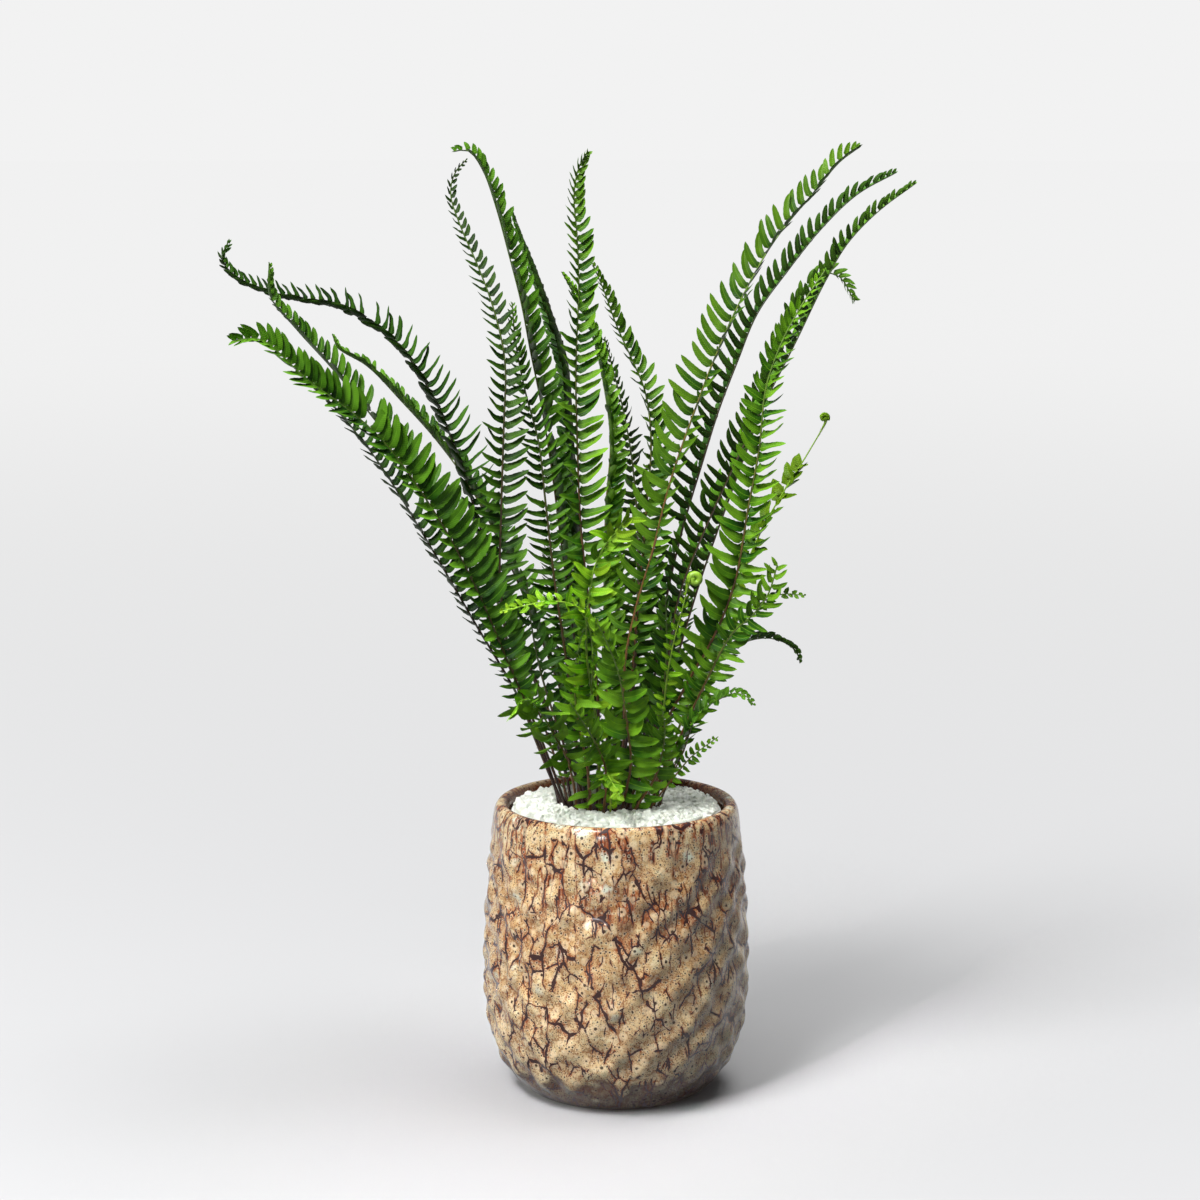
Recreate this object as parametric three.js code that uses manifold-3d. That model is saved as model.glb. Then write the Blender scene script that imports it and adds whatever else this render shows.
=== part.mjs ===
// A potted sword fern: a glazed stoneware pot, soil, a dressing of white gravel and a mesh for each frond.
// Millimetres, +Z up. The origin is the middle of the pot's foot, and -Y is the side that faces the viewer.
import * as THREE from "three";
import { mergeVertices } from "three/addons/utils/BufferGeometryUtils.js";
import Module from "manifold-3d";

const wasm = await Module();
wasm.setup();

// ---- Driving dimensions ------------------------------------------------------------------------------
const GAP = 0.3; // clearance between pieces that rest on each other

const POT_HEIGHT = 200;
const POT_RADIUS = 90; // at the belly
const BELLY_HEIGHT = 77;
const SHOULDER_RADIUS = 84; // just under the rim
const SHOULDER_HEIGHT = 187;
const FOOT_RADIUS = 57;
const MOUTH_RADIUS = 72;
const WALL = 9;
const FLOOR_HEIGHT = 12;
const POT_SIDES = 36; // one for each bump or hollow round the pot
const BUMP_ROWS = 13;
const BUMP_DEPTH = 2.2;

const SOIL_TOP = 190;
const ROOT_DEPTH = 22; // how far a leaf stalk goes into the soil
const COLLAR = ROOT_DEPTH + 3; // length of stalk that is straight, from its lower end to just above the soil

const GRAVEL_DEPTH = 6.5;
const GRAVEL_SIDES = 36;
const GRAVEL_RINGS = 6;
const CHIP_HEIGHT = 2.4;
// The stalks come up through this oval, which the gravel leaves free.
const CROWN = { x: -4, y: 7, halfWidth: 42, halfDepth: 36 };

const BLADE = 0.8; // thickness of a leaflet
const STALK = { width: 2.8, thickness: 2.2, tipWidth: 1.1 };
const SMALL_FROND = 13; // a frond whose leaflets are shorter than this has a slimmer stalk
const SMALL_STALK = 0.7;
const LARGE_FROND = 27; // a frond whose leaflets are this long has a shoulder on them, up to SHOULDERS_END
const SHOULDERS_END = 0.6;
const PITCH = { share: 0.6, least: 9, most: 14 }; // from leaflet to leaflet, as a share of the longest
const CROWDING = 1.2; // leaflets stand closer towards the tip where this is more than 1
const SWEEP = { first: 82, last: 45, unevenness: 3 }; // degrees from the rib's direction to a leaflet's
const SHOULDER = { along: 0.55, back: 0.4 }; // shares of a leaflet's length and of its root's width
const TIP_FORWARD = 0.1; // share of its root's width
const LOWEST_LEAFLET = POT_HEIGHT + 2;

const COIL_STEPS = 8; // route points in one turn of a crozier
const COIL_SHRINK = 0.6; // share of its radius that a crozier loses towards its middle
const COIL_SECTIONS = 9;

// The fronds were surveyed from in front of the pot: a route point is [x, z, depth], with x and z as they
// appear on the upright plane through the pot's axis, and depth the real y. place() carries it to that depth.
const SURVEY = { x: -11, distance: 1900, height: 660 };

// ---- The fronds --------------------------------------------------------------------------------------
// root: where the stalk leaves the soil, [x, y].
// reach: longest leaflet.  bare: share of the length that has no leaflets.
// face: compass angle that the upper side looks to at the root.  twist: how far it turns towards the tip.
// lift: how far both rows of leaflets are folded up.  louvre: turn of each leaflet about its own midrib.
const FRONDS = [
  {
    name: "frond_left_low", tone: "mature", root: [-33, -10], reach: 27, bare: 0.24,
    face: -48, twist: 0, lift: 42, louvre: 10,
    route: [[-50, 240, -20], [-72, 292, -32], [-94, 345, -44], [-122, 398, -58], [-160, 450, -72],
      [-208, 489, -84], [-236, 513, -90], [-254, 512, -94]],
  },
  {
    name: "frond_left_under", tone: "dark", root: [-38, 8], reach: 24, bare: 0.26,
    face: -25, twist: 0, lift: 44, louvre: 15,
    route: [[-50, 235, 20], [-68, 275, 26], [-95, 322, 32], [-125, 375, 38], [-160, 433, 44],
      [-185, 465, 48], [-205, 487, 52]],
  },
  {
    name: "frond_left_arch", tone: "dark", root: [-30, 15], reach: 25, bare: 0.3,
    face: -42, twist: 0, lift: 36, louvre: 45,
    route: [[-40, 240, 28], [-58, 290, 36], [-80, 350, 46], [-95, 400, 54], [-108, 442, 62],
      [-128, 486, 70], [-152, 517, 76], [-183, 534, 82], [-220, 541, 88], [-250, 553, 92],
      [-260, 566, 93], [-255, 578, 93]],
  },
  {
    name: "frond_left_mid", tone: "mature", root: [-30, 2], reach: 22, bare: 0.28,
    face: -30, twist: 0, lift: 42, louvre: 15,
    route: [[-40, 245, 10], [-62, 300, 14], [-92, 358, 14], [-125, 410, 8], [-158, 456, 0],
      [-187, 492, -8], [-212, 520, -14], [-229, 542, -18], [-229, 563, -20]],
  },
  {
    name: "frond_left_inner", tone: "mature", root: [-23, 22], reach: 20, bare: 0.32,
    face: -25, twist: 0, lift: 42, louvre: 15,
    route: [[-30, 250, 46], [-50, 310, 64], [-75, 370, 84], [-98, 415, 98], [-120, 446, 110],
      [-143, 472, 120], [-165, 495, 127], [-184, 507, 131], [-188, 516, 132]],
  },
  {
    name: "frond_hook_tall", tone: "mature", root: [-19, 10], reach: 20, bare: 0.24,
    face: -25, twist: 0, lift: 44, louvre: 10,
    route: [[-20, 250, 20], [-28, 310, 28], [-36, 370, 34], [-43, 425, 36], [-50, 470, 36],
      [-57, 505, 32], [-63, 537, 28], [-70, 565, 24], [-80, 602, 18], [-88, 624, 14],
      [-97, 636, 10], [-107, 636, 8]],
  },
  {
    name: "frond_back_dark", tone: "dark", root: [-13, 23], reach: 20, bare: 0.26,
    face: 200, twist: 0, lift: 42, louvre: 15,
    route: [[-12, 260, 46], [-20, 330, 62], [-26, 400, 76], [-29, 450, 86], [-33, 500, 94],
      [-40, 522, 98], [-52, 556, 104], [-62, 580, 108], [-68, 596, 110]],
  },
  {
    name: "frond_screen_tall", tone: "mature", root: [-35, -1], reach: 22, bare: 0.2,
    face: -90, twist: 30, lift: 15, louvre: 45,
    route: [[-48, 225, 1], [-60, 257, -1], [-72, 300, -5], [-78, 350, -8], [-77, 400, -9],
      [-75, 455, -7], [-74, 498, -2], [-81, 532, 5], [-91, 560, 11], [-103, 588, 17],
      [-109, 608, 21], [-106, 622, 23], [-98, 631, 25]],
  },
  {
    name: "frond_screen_short", tone: "mature", root: [-25, -4], reach: 21, bare: 0.2,
    face: -90, twist: 15, lift: 18, louvre: 45,
    route: [[-28, 250, 0], [-35, 305, 4], [-42, 355, 6], [-48, 410, 6], [-52, 445, 6],
      [-61, 480, 8], [-67, 512, 12], [-69, 537, 16]],
  },
  {
    name: "frond_centre_tall", tone: "bright", root: [-13, 1], reach: 23, bare: 0.16,
    face: -60, twist: 0, lift: 28, louvre: 30,
    route: [[-12, 260, -1], [-18, 330, -5], [-24, 390, -8], [-26, 440, -10], [-27, 490, -10],
      [-25, 550, -10], [-26, 580, -11], [-28, 608, -13], [-25, 625, -15], [-19, 636, -17]],
  },
  {
    name: "frond_centre_behind", tone: "bright", root: [-8, 12], reach: 20, bare: 0.2,
    face: -30, twist: 0, lift: 38, louvre: 15,
    route: [[-6, 260, 24], [-8, 330, 31], [-7, 400, 36], [-4, 445, 38], [-8, 480, 38],
      [-16, 515, 34], [-27, 540, 30], [-36, 557, 28]],
  },
  {
    name: "frond_centre_right", tone: "bright", root: [-2, 6], reach: 21, bare: 0.2,
    face: -50, twist: 0, lift: 33, louvre: 20,
    route: [[8, 260, 10], [14, 330, 12], [20, 400, 14], [23, 445, 14], [19, 478, 14],
      [10, 500, 14], [0, 522, 12], [-8, 544, 10], [-16, 563, 8]],
  },
  {
    name: "frond_back_small", tone: "dark", root: [-1, 25], reach: 15, bare: 0.24,
    face: 90, twist: 0, lift: 15, louvre: 35,
    route: [[10, 260, 56], [14, 330, 84], [14, 390, 106], [10, 435, 120], [4, 468, 129],
      [-3, 495, 135], [-8, 514, 139]],
  },
  {
    name: "frond_right_tall", tone: "bright", root: [-1, -7], reach: 27, bare: 0.2,
    face: -118, twist: -34, lift: 38, louvre: 15,
    route: [[5, 240, -11], [6, 295, -18], [13, 332, -22], [24, 370, -26], [36, 418, -30],
      [50, 460, -32], [66, 503, -34], [84, 543, -34], [104, 578, -32], [130, 610, -28],
      [146, 629, -25], [158, 638, -22]],
  },
  {
    name: "frond_right_dark", tone: "dark", root: [6, 14], reach: 24, bare: 0.24,
    face: 155, twist: 0, lift: 40, louvre: 20,
    route: [[22, 260, 28], [32, 330, 38], [44, 385, 46], [57, 430, 52], [68, 466, 58],
      [80, 498, 64], [93, 530, 68], [112, 557, 72], [135, 586, 76], [158, 608, 78], [183, 622, 80]],
  },
  {
    name: "frond_right_outer", tone: "mature", root: [14, 7], reach: 23, bare: 0.22,
    face: 158, twist: 0, lift: 42, louvre: 20,
    route: [[32, 280, 14], [42, 340, 18], [56, 378, 20], [78, 428, 20], [97, 468, 20],
      [118, 510, 20], [137, 550, 20], [152, 576, 20], [172, 597, 20], [196, 615, 20]],
  },
  {
    name: "frond_right_front", tone: "bright", root: [11, -6], reach: 25, bare: 0.14,
    face: -90, twist: -15, lift: 20, louvre: 40,
    route: [[32, 250, -14], [48, 281, -24], [68, 318, -34], [80, 352, -42], [88, 400, -48],
      [95, 440, -52], [99, 480, -54], [108, 508, -54], [122, 535, -53], [137, 558, -52]],
  },
  {
    name: "frond_right_droop", tone: "mature", root: [14, 21], reach: 18, bare: 0.26,
    face: 160, twist: 0, lift: 34, louvre: 15,
    route: [[36, 280, 52], [56, 350, 76], [80, 420, 98], [103, 485, 112], [120, 535, 121],
      [135, 556, 126], [147, 554, 130], [157, 538, 133]],
  },
  {
    name: "frond_crozier_thin", tone: "young", root: [23, 4], reach: 11, bare: 0.34,
    face: -150, twist: 0, lift: 15, louvre: 0,
    coil: { radius: 4.8, turns: 1, to: 1 },
    route: [[46, 260, 4], [62, 305, 0], [80, 345, -5], [97, 385, -8], [112, 412, -8],
      [128, 438, -8], [140, 461, -8]],
  },
  {
    name: "frond_side_rising", tone: "bright", root: [21, -4], reach: 11, bare: 0.3,
    face: -100, twist: 0, lift: 10, louvre: 10,
    route: [[46, 250, -19], [62, 285, -35], [78, 315, -48], [92, 328, -57], [102, 342, -64],
      [108, 362, -68]],
  },
  {
    name: "frond_side_out", tone: "bright", root: [28, 0], reach: 10, bare: 0.34,
    face: -120, twist: 0, lift: 15, louvre: 10,
    route: [[50, 250, -2], [64, 290, -9], [80, 322, -16], [97, 336, -22], [112, 342, -27],
      [127, 341, -31]],
  },
  {
    name: "frond_side_droop", tone: "mature", root: [25, 11], reach: 9, bare: 0.34,
    face: 180, twist: 0, lift: 15, louvre: 10,
    route: [[50, 255, 22], [64, 290, 29], [82, 307, 36], [100, 312, 42], [113, 309, 46],
      [121, 303, 48], [124, 295, 49]],
  },
  {
    name: "frond_low_right", tone: "mature", root: [26, -9], reach: 10, bare: 0.26,
    face: 180, twist: 0, lift: 15, louvre: 10,
    route: [[46, 235, -22], [54, 258, -35], [68, 269, -48], [80, 274, -57], [88, 272, -63],
      [93, 266, -66]],
  },
  {
    name: "frond_low_twig", tone: "bright", root: [20, -13], reach: 7, bare: 0.34,
    face: -120, twist: 0, lift: 10, louvre: 10,
    route: [[44, 222, -24], [52, 231, -33], [61, 238, -41], [69, 244, -47]],
  },
  {
    name: "frond_crozier_young", tone: "young", root: [14, -14], reach: 7, bare: 0.3,
    face: -90, twist: 0, lift: 5, louvre: 0,
    coil: { radius: 5.6, turns: 1.1, to: -1 },
    route: [[30, 250, -34], [35, 290, -52], [40, 315, -61], [45, 334, -67], [49, 352, -72]],
  },
  {
    name: "frond_lime_left", tone: "young", root: [-19, -11], reach: 10, bare: 0.44,
    face: 0, twist: 0, lift: 20, louvre: 10,
    route: [[-18, 250, -33], [-16, 290, -52], [-18, 318, -66], [-28, 334, -77], [-45, 337, -86],
      [-62, 334, -93], [-78, 330, -98]],
  },
  {
    name: "frond_lime_centre", tone: "young", root: [-11, -14], reach: 15, bare: 0.3,
    face: -90, twist: 0, lift: 15, louvre: 20,
    route: [[-13, 250, -38], [-20, 300, -58], [-19, 335, -70], [-14, 362, -77], [-4, 380, -82],
      [8, 394, -86]],
  },
  {
    name: "frond_front_right", tone: "bright", root: [3, -15], reach: 22, bare: 0.14,
    face: -95, twist: 0, lift: 10, louvre: 30,
    route: [[10, 225, -33], [8, 248, -50], [5, 270, -63], [1, 290, -74], [-6, 308, -84],
      [-14, 325, -92]],
  },
  {
    name: "frond_front_left", tone: "bright", root: [-17, -19], reach: 17, bare: 0.16,
    face: -90, twist: 0, lift: 12, louvre: 20,
    route: [[-20, 225, -30], [-25, 250, -41], [-28, 275, -51], [-27, 298, -59], [-22, 318, -65]],
  },
  {
    name: "frond_front_slant", tone: "bright", root: [-9, -21], reach: 14, bare: 0.14,
    face: -60, twist: 0, lift: 12, louvre: 20,
    route: [[-7, 220, -38], [-12, 235, -53], [-20, 250, -68], [-31, 267, -84]],
  },
  {
    name: "frond_left_cluster", tone: "bright", root: [-26, -17], reach: 18, bare: 0.2,
    face: -90, twist: 0, lift: 25, louvre: 10,
    route: [[-32, 225, -32], [-42, 245, -48], [-52, 262, -65], [-60, 270, -80], [-66, 268, -90]],
  },
  {
    name: "frond_gravel_trailer", tone: "young", root: [-4, -22], reach: 8, bare: 0.3,
    face: -90, twist: 0, lift: 10, louvre: 0,
    route: [[-4, 214, -37], [-6, 218, -50], [-2, 211, -62], [3, 202, -70]],
  },
  {
    name: "frond_low_stem", tone: "bright", root: [9, -19], reach: 11, bare: 0.16,
    face: -90, twist: 0, lift: 10, louvre: 10,
    route: [[26, 215, -32], [31, 232, -42], [33, 248, -50], [31, 264, -57]],
  },
  {
    name: "frond_heart_right", tone: "mature", root: [6, -2], reach: 17, bare: 0.18,
    face: -110, twist: 0, lift: 20, louvre: 20,
    route: [[24, 235, -8], [31, 270, -14], [34, 305, -18], [33, 340, -20]],
  },
  {
    name: "frond_heart_left", tone: "dark", root: [-19, -4], reach: 16, bare: 0.2,
    face: -90, twist: 0, lift: 20, louvre: 20,
    route: [[-36, 240, -26], [-50, 285, -27], [-57, 320, -27], [-60, 350, -26]],
  },
  {
    name: "frond_rear_left", tone: "dark", root: [-22, 29], reach: 21, bare: 0.22,
    face: -70, twist: 0, lift: 15, louvre: 20,
    route: [[-26, 262, 66], [-36, 318, 94], [-43, 355, 122], [-46, 376, 150]],
  },
  {
    name: "frond_rear_middle", tone: "mature", root: [-7, 32], reach: 22, bare: 0.2,
    face: -90, twist: 0, lift: 15, louvre: 20,
    route: [[1, 262, 70], [2, 322, 102], [1, 362, 134], [-2, 384, 166]],
  },
  {
    name: "frond_rear_right", tone: "dark", root: [7, 30], reach: 21, bare: 0.22,
    face: -110, twist: 0, lift: 15, louvre: 20,
    route: [[27, 262, 68], [39, 316, 98], [47, 352, 126], [52, 374, 156]],
  },
  {
    name: "frond_rear_low_right", tone: "bright", root: [20, 27], reach: 17, bare: 0.24,
    face: -135, twist: 0, lift: 12, louvre: 15,
    route: [[47, 248, 60], [62, 288, 88], [70, 312, 116], [73, 322, 142]],
  },
  {
    name: "frond_rear_low_left", tone: "bright", root: [-33, 25], reach: 17, bare: 0.24,
    face: -45, twist: 0, lift: 12, louvre: 15,
    route: [[-47, 246, 58], [-62, 284, 86], [-71, 306, 114], [-75, 314, 140]],
  },
];

// ---- Materials ---------------------------------------------------------------------------------------
const finish = (color, roughness) => new THREE.MeshStandardMaterial({ color, roughness, metalness: 0 });

const MATERIALS = {
  pot: finish(0xa98560, 0.25),
  soil: finish(0x2a1d14, 0.95),
  gravel: finish(0xe6e8e0, 0.6),
  dark: finish(0x24481a, 0.5),
  mature: finish(0x356a22, 0.5),
  bright: finish(0x4e8f27, 0.5),
  young: finish(0x86b933, 0.5),
};

// ---- Small helpers -----------------------------------------------------------------------------------
const vec = (x, y, z) => new THREE.Vector3(x, y, z);
const flat = (x, y) => new THREE.Vector2(x, y);
const { lerp, clamp, degToRad } = THREE.MathUtils;

// A repeatable draw between -1 and 1 for a whole number.
function draw(n) {
  const wave = Math.sin(n * 127.1 + 311.7) * 43758.5453;
  return 2 * (wave - Math.floor(wave)) - 1;
}

function indexedGeometry(points, faces) {
  const positions = new Float32Array(points.flatMap((p) => [p.x, p.y, p.z]));
  return new THREE.BufferGeometry()
    .setAttribute("position", new THREE.BufferAttribute(positions, 3))
    .setIndex(faces);
}

function toSolid(geometry) {
  const bare = geometry.clone();
  bare.deleteAttribute("normal");
  bare.deleteAttribute("uv");
  const merged = mergeVertices(bare, 1e-3);
  return new wasm.Manifold(
    new wasm.Mesh({
      numProp: 3,
      vertProperties: merged.attributes.position.array,
      triVerts: new Uint32Array(merged.index.array),
    }),
  );
}

function toGeometry(solid) {
  const mesh = solid.getMesh();
  return new THREE.BufferGeometry()
    .setAttribute("position", new THREE.BufferAttribute(mesh.vertProperties, 3))
    .setIndex(new THREE.BufferAttribute(mesh.triVerts, 1));
}

// ---- Pot ---------------------------------------------------------------------------------------------
// The outside of the wall from the foot's edge up to the shoulder, at even steps: a well rounded bottom, then
// a wall that leans in a little above the belly.
function outerWall() {
  const path = new THREE.Path();
  path.moveTo(FOOT_RADIUS, 0);
  path.bezierCurveTo(FOOT_RADIUS + 10, 2.5, POT_RADIUS, 23, POT_RADIUS, BELLY_HEIGHT);
  path.bezierCurveTo(POT_RADIUS + 0.5, 120, SHOULDER_RADIUS + 3, 160, SHOULDER_RADIUS, SHOULDER_HEIGHT);
  return path.getSpacedPoints(BUMP_ROWS);
}

// The inside of the wall from the mouth down to the floor.
function innerWall() {
  return [
    flat(MOUTH_RADIUS, POT_HEIGHT - 12),
    flat(POT_RADIUS - WALL - 3, 140),
    flat(POT_RADIUS - WALL, BELLY_HEIGHT),
    flat(POT_RADIUS - WALL - 9, BELLY_HEIGHT / 2),
    flat(FOOT_RADIUS, FLOOR_HEIGHT),
  ];
}

// How far in a corner of the outer wall is pressed. There are no hollows at the foot, nor under the rim.
function hollow(side, row) {
  const isHollow = (side + row) % 2 === 1;
  return isHollow && row > 1 && row < BUMP_ROWS ? BUMP_DEPTH : 0;
}

// The wall's corners are high and low by turns, and show as bumps where each quad is split from low to low.
// A lathe splits them all one way, so every other quad is split anew. A column is the quads of one side.
function turnDiagonals(index, column) {
  for (let quad = 0; quad < index.length / 6; quad++) {
    const side = Math.floor(quad / column);
    if ((side + (quad % column)) % 2) continue;
    const [a, b, d, c] = index.slice(6 * quad, 6 * quad + 4);
    index.set([a, b, c, a, c, d], 6 * quad);
  }
}

function potGeometry() {
  const outer = outerWall();
  const rim = [
    flat(SHOULDER_RADIUS - 2.5, POT_HEIGHT - 4),
    flat((SHOULDER_RADIUS + MOUTH_RADIUS) / 2, POT_HEIGHT),
    flat(MOUTH_RADIUS + 1.5, POT_HEIGHT - 2.5),
  ];
  const profile = [flat(0, 0), ...outer, ...rim, ...innerWall(), flat(0, FLOOR_HEIGHT)];
  const geometry = new THREE.LatheGeometry(profile, POT_SIDES);
  turnDiagonals(geometry.index.array, profile.length - 1);
  const position = geometry.attributes.position;
  for (let i = 0; i < position.count; i++) {
    const side = Math.floor(i / profile.length) % POT_SIDES;
    const row = (i % profile.length) - 1;
    const pressed = row >= 0 && row < outer.length ? hollow(side, row) : 0;
    const share = 1 - pressed / POT_RADIUS;
    position.setX(i, position.getX(i) * share);
    position.setZ(i, position.getZ(i) * share);
  }
  return toGeometry(toSolid(geometry.rotateX(Math.PI / 2)));
}

// ---- Soil --------------------------------------------------------------------------------------------
// Fills the pot up to SOIL_TOP, a gap off the wall. It has half the pot's sides, corner facing corner.
function soilSolid(holes) {
  const wall = innerWall().map((p) => flat(p.x - 1.5 * GAP, Math.min(SOIL_TOP, p.y + GAP)));
  const profile = [flat(0, SOIL_TOP), ...wall, flat(0, FLOOR_HEIGHT + GAP)].reverse();
  const body = toSolid(new THREE.LatheGeometry(profile, POT_SIDES / 2).rotateX(Math.PI / 2));
  return holes.reduce((soil, hole) => soil.subtract(hole), body);
}

// ---- Gravel ------------------------------------------------------------------------------------------
// A ring of dressing between the crown and the pot, its top raised into chips by turns high and low. It is
// heaped highest a quarter of the way out.
function gravelGeometry() {
  const points = [];
  const faces = [];
  const base = SOIL_TOP + GAP;
  const wallRadius = MOUTH_RADIUS - 2 * GAP;
  for (let side = 0; side < GRAVEL_SIDES; side++) {
    const angle = (2 * Math.PI * side) / GRAVEL_SIDES;
    const [across, away] = [Math.cos(angle), Math.sin(angle)];
    const inside = vec(CROWN.x + CROWN.halfWidth * across, CROWN.y + CROWN.halfDepth * away, base);
    const outside = vec(wallRadius * across, wallRadius * away, base);
    for (let ring = 0; ring <= GRAVEL_RINGS; ring++) {
      const share = ring / GRAVEL_RINGS;
      const heap = GRAVEL_DEPTH * Math.cos(1.3 * (share - 0.25));
      const chip = (side + ring) % 2 ? CHIP_HEIGHT : 0;
      const uneven = 0.5 * draw(side * (GRAVEL_RINGS + 1) + ring);
      points.push(inside.clone().lerp(outside, share).setZ(base + heap + chip + uneven));
    }
    points.push(outside, inside);
  }
  const column = GRAVEL_RINGS + 3;
  for (let side = 0; side < GRAVEL_SIDES; side++) {
    const here = side * column;
    const next = ((side + 1) % GRAVEL_SIDES) * column;
    for (let row = 0; row < column; row++) {
      const after = (row + 1) % column;
      const corners = [here + row, here + after, next + after, next + row];
      const [a, b, c, d] = (side + row) % 2 ? [...corners.slice(1), corners[0]] : corners;
      faces.push(a, b, c, a, c, d);
    }
  }
  return indexedGeometry(points, faces);
}

// ---- Where the air is already taken ------------------------------------------------------------------
// Balls along every stalk and leaflet placed so far, sorted into cubic cells, so that the next keeps clear.
class TakenAir {
  constructor(cell) {
    this.cell = cell;
    this.cells = new Map();
  }

  cellOf(p) {
    return [p.x, p.y, p.z].map((c) => Math.floor(c / this.cell));
  }

  take(balls, owner) {
    for (const { p, radius } of balls) {
      const key = this.cellOf(p).join();
      if (!this.cells.has(key)) this.cells.set(key, []);
      this.cells.get(key).push({ p, radius, owner });
    }
  }

  near(p) {
    const [cx, cy, cz] = this.cellOf(p);
    const found = [];
    for (let x = cx - 1; x <= cx + 1; x++)
      for (let y = cy - 1; y <= cy + 1; y++)
        for (let z = cz - 1; z <= cz + 1; z++) found.push(...(this.cells.get([x, y, z].join()) ?? []));
    return found;
  }

  isFree(balls, owner) {
    const touches = (mine, other) => other.p.distanceTo(mine.p) < other.radius + mine.radius;
    const others = (mine) => this.near(mine.p).filter((other) => other.owner !== owner);
    return !balls.some((mine) => others(mine).some((other) => touches(mine, other)));
  }
}

// ---- Fronds ------------------------------------------------------------------------------------------
const isSmall = (frond) => frond.reach < SMALL_FROND;

// A surveyed point carried out to its depth.
function place([x, z, depth]) {
  const share = (SURVEY.distance + depth) / SURVEY.distance;
  return vec(SURVEY.x + (x - SURVEY.x) * share, depth, SURVEY.height - (SURVEY.height - z) * share);
}

// The curled end of a crozier, which carries on from the route and winds up towards its middle.
function coilPoints(start, { radius, turns, to }) {
  const steps = Math.round(turns * COIL_STEPS);
  const points = [];
  for (let i = 1; i <= steps; i++) {
    const angle = (2 * Math.PI * turns * i) / steps;
    const shrunk = radius * (1 - (COIL_SHRINK * i) / steps);
    const across = radius - shrunk * Math.cos(angle);
    points.push(vec(start.x - to * across, start.y, start.z + shrunk * Math.sin(angle)));
  }
  return points;
}

// The rib's route: from the bottom of its hole, through the surveyed points, and round the coil of a crozier.
function ribCurve(frond) {
  const [x, y] = frond.root;
  const points = [vec(x, y, SOIL_TOP - ROOT_DEPTH), vec(x, y, SOIL_TOP), ...frond.route.map(place)];
  if (frond.coil) points.push(...coilPoints(points[points.length - 1], frond.coil));
  return new THREE.CatmullRomCurve3(points);
}

// At each of a rising list of lengths: the rib's place, its direction (along), the side that its leaflets
// look to (up) and its right-hand side.
function framesAlong(curve, lengths, { face, twist }) {
  const whole = curve.getLength();
  const up = vec(Math.cos(degToRad(face)), Math.sin(degToRad(face)), 0);
  return lengths.map((length) => {
    const share = Math.min(1, length / whole);
    const along = curve.getTangentAt(share);
    up.addScaledVector(along, -up.dot(along)).normalize();
    const turned = up.clone().applyAxisAngle(along, degToRad(twist * share));
    return { at: curve.getPointAt(share), along, up: turned, right: along.clone().cross(turned), share };
  });
}

function coiledLength({ radius, turns }) {
  return 2 * Math.PI * turns * radius * (1 - COIL_SHRINK / 2);
}

// The lengths at which the rib has a section: a few down the bare stalk, then one between each two leaflets.
function sections(frond, whole) {
  const coiled = frond.coil ? coiledLength(frond.coil) : 0;
  const leafyStart = Math.max(COLLAR + PITCH.least / 2, whole * frond.bare);
  const leafyEnd = whole - coiled;
  const pitch = clamp(PITCH.share * frond.reach, PITCH.least, PITCH.most);
  const pairs = Math.round((leafyEnd - leafyStart) / pitch);
  const stalk = [0, ...[0, 0.4, 0.75].map((share) => lerp(COLLAR, leafyStart, share))];
  const leafy = [];
  for (let i = 0; i <= pairs; i++) leafy.push(lerp(leafyStart, leafyEnd, 1 - (1 - i / pairs) ** CROWDING));
  if (!frond.coil) return { lengths: [...stalk, ...leafy], firstPair: stalk.length, pairs };
  const coil = [];
  for (let i = 1; i <= COIL_SECTIONS; i++) coil.push(leafyEnd + (coiled * i) / COIL_SECTIONS);
  return { lengths: [...stalk, ...leafy, ...coil], firstPair: stalk.length, pairs: pairs - 1 };
}

// Four corners of the rib's section: upper left, upper right, lower right, lower left.
function sectionCorners(frond, frame, grow = 0) {
  const slim = isSmall(frond) ? SMALL_STALK : 1;
  const w = (slim * lerp(STALK.width, STALK.tipWidth, frame.share)) / 2 + grow;
  const t = (slim * lerp(STALK.thickness, BLADE / slim, frame.share)) / 2 + grow;
  return [[-w, t], [w, t], [w, -t], [-w, -t]].map(([x, y]) =>
    frame.at.clone().addScaledVector(frame.right, x).addScaledVector(frame.up, y),
  );
}

// How long a leaflet is, as a share of the longest, by its place on the leafy part of the rib: half as long
// at the first pair, longest from about a quarter to a third of the way, and then ever shorter.
function leafletShare(place) {
  return Math.min(1, 0.5 + 1.8 * place) * Math.min(1, 1.15 * Math.sqrt(1 - place));
}

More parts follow.
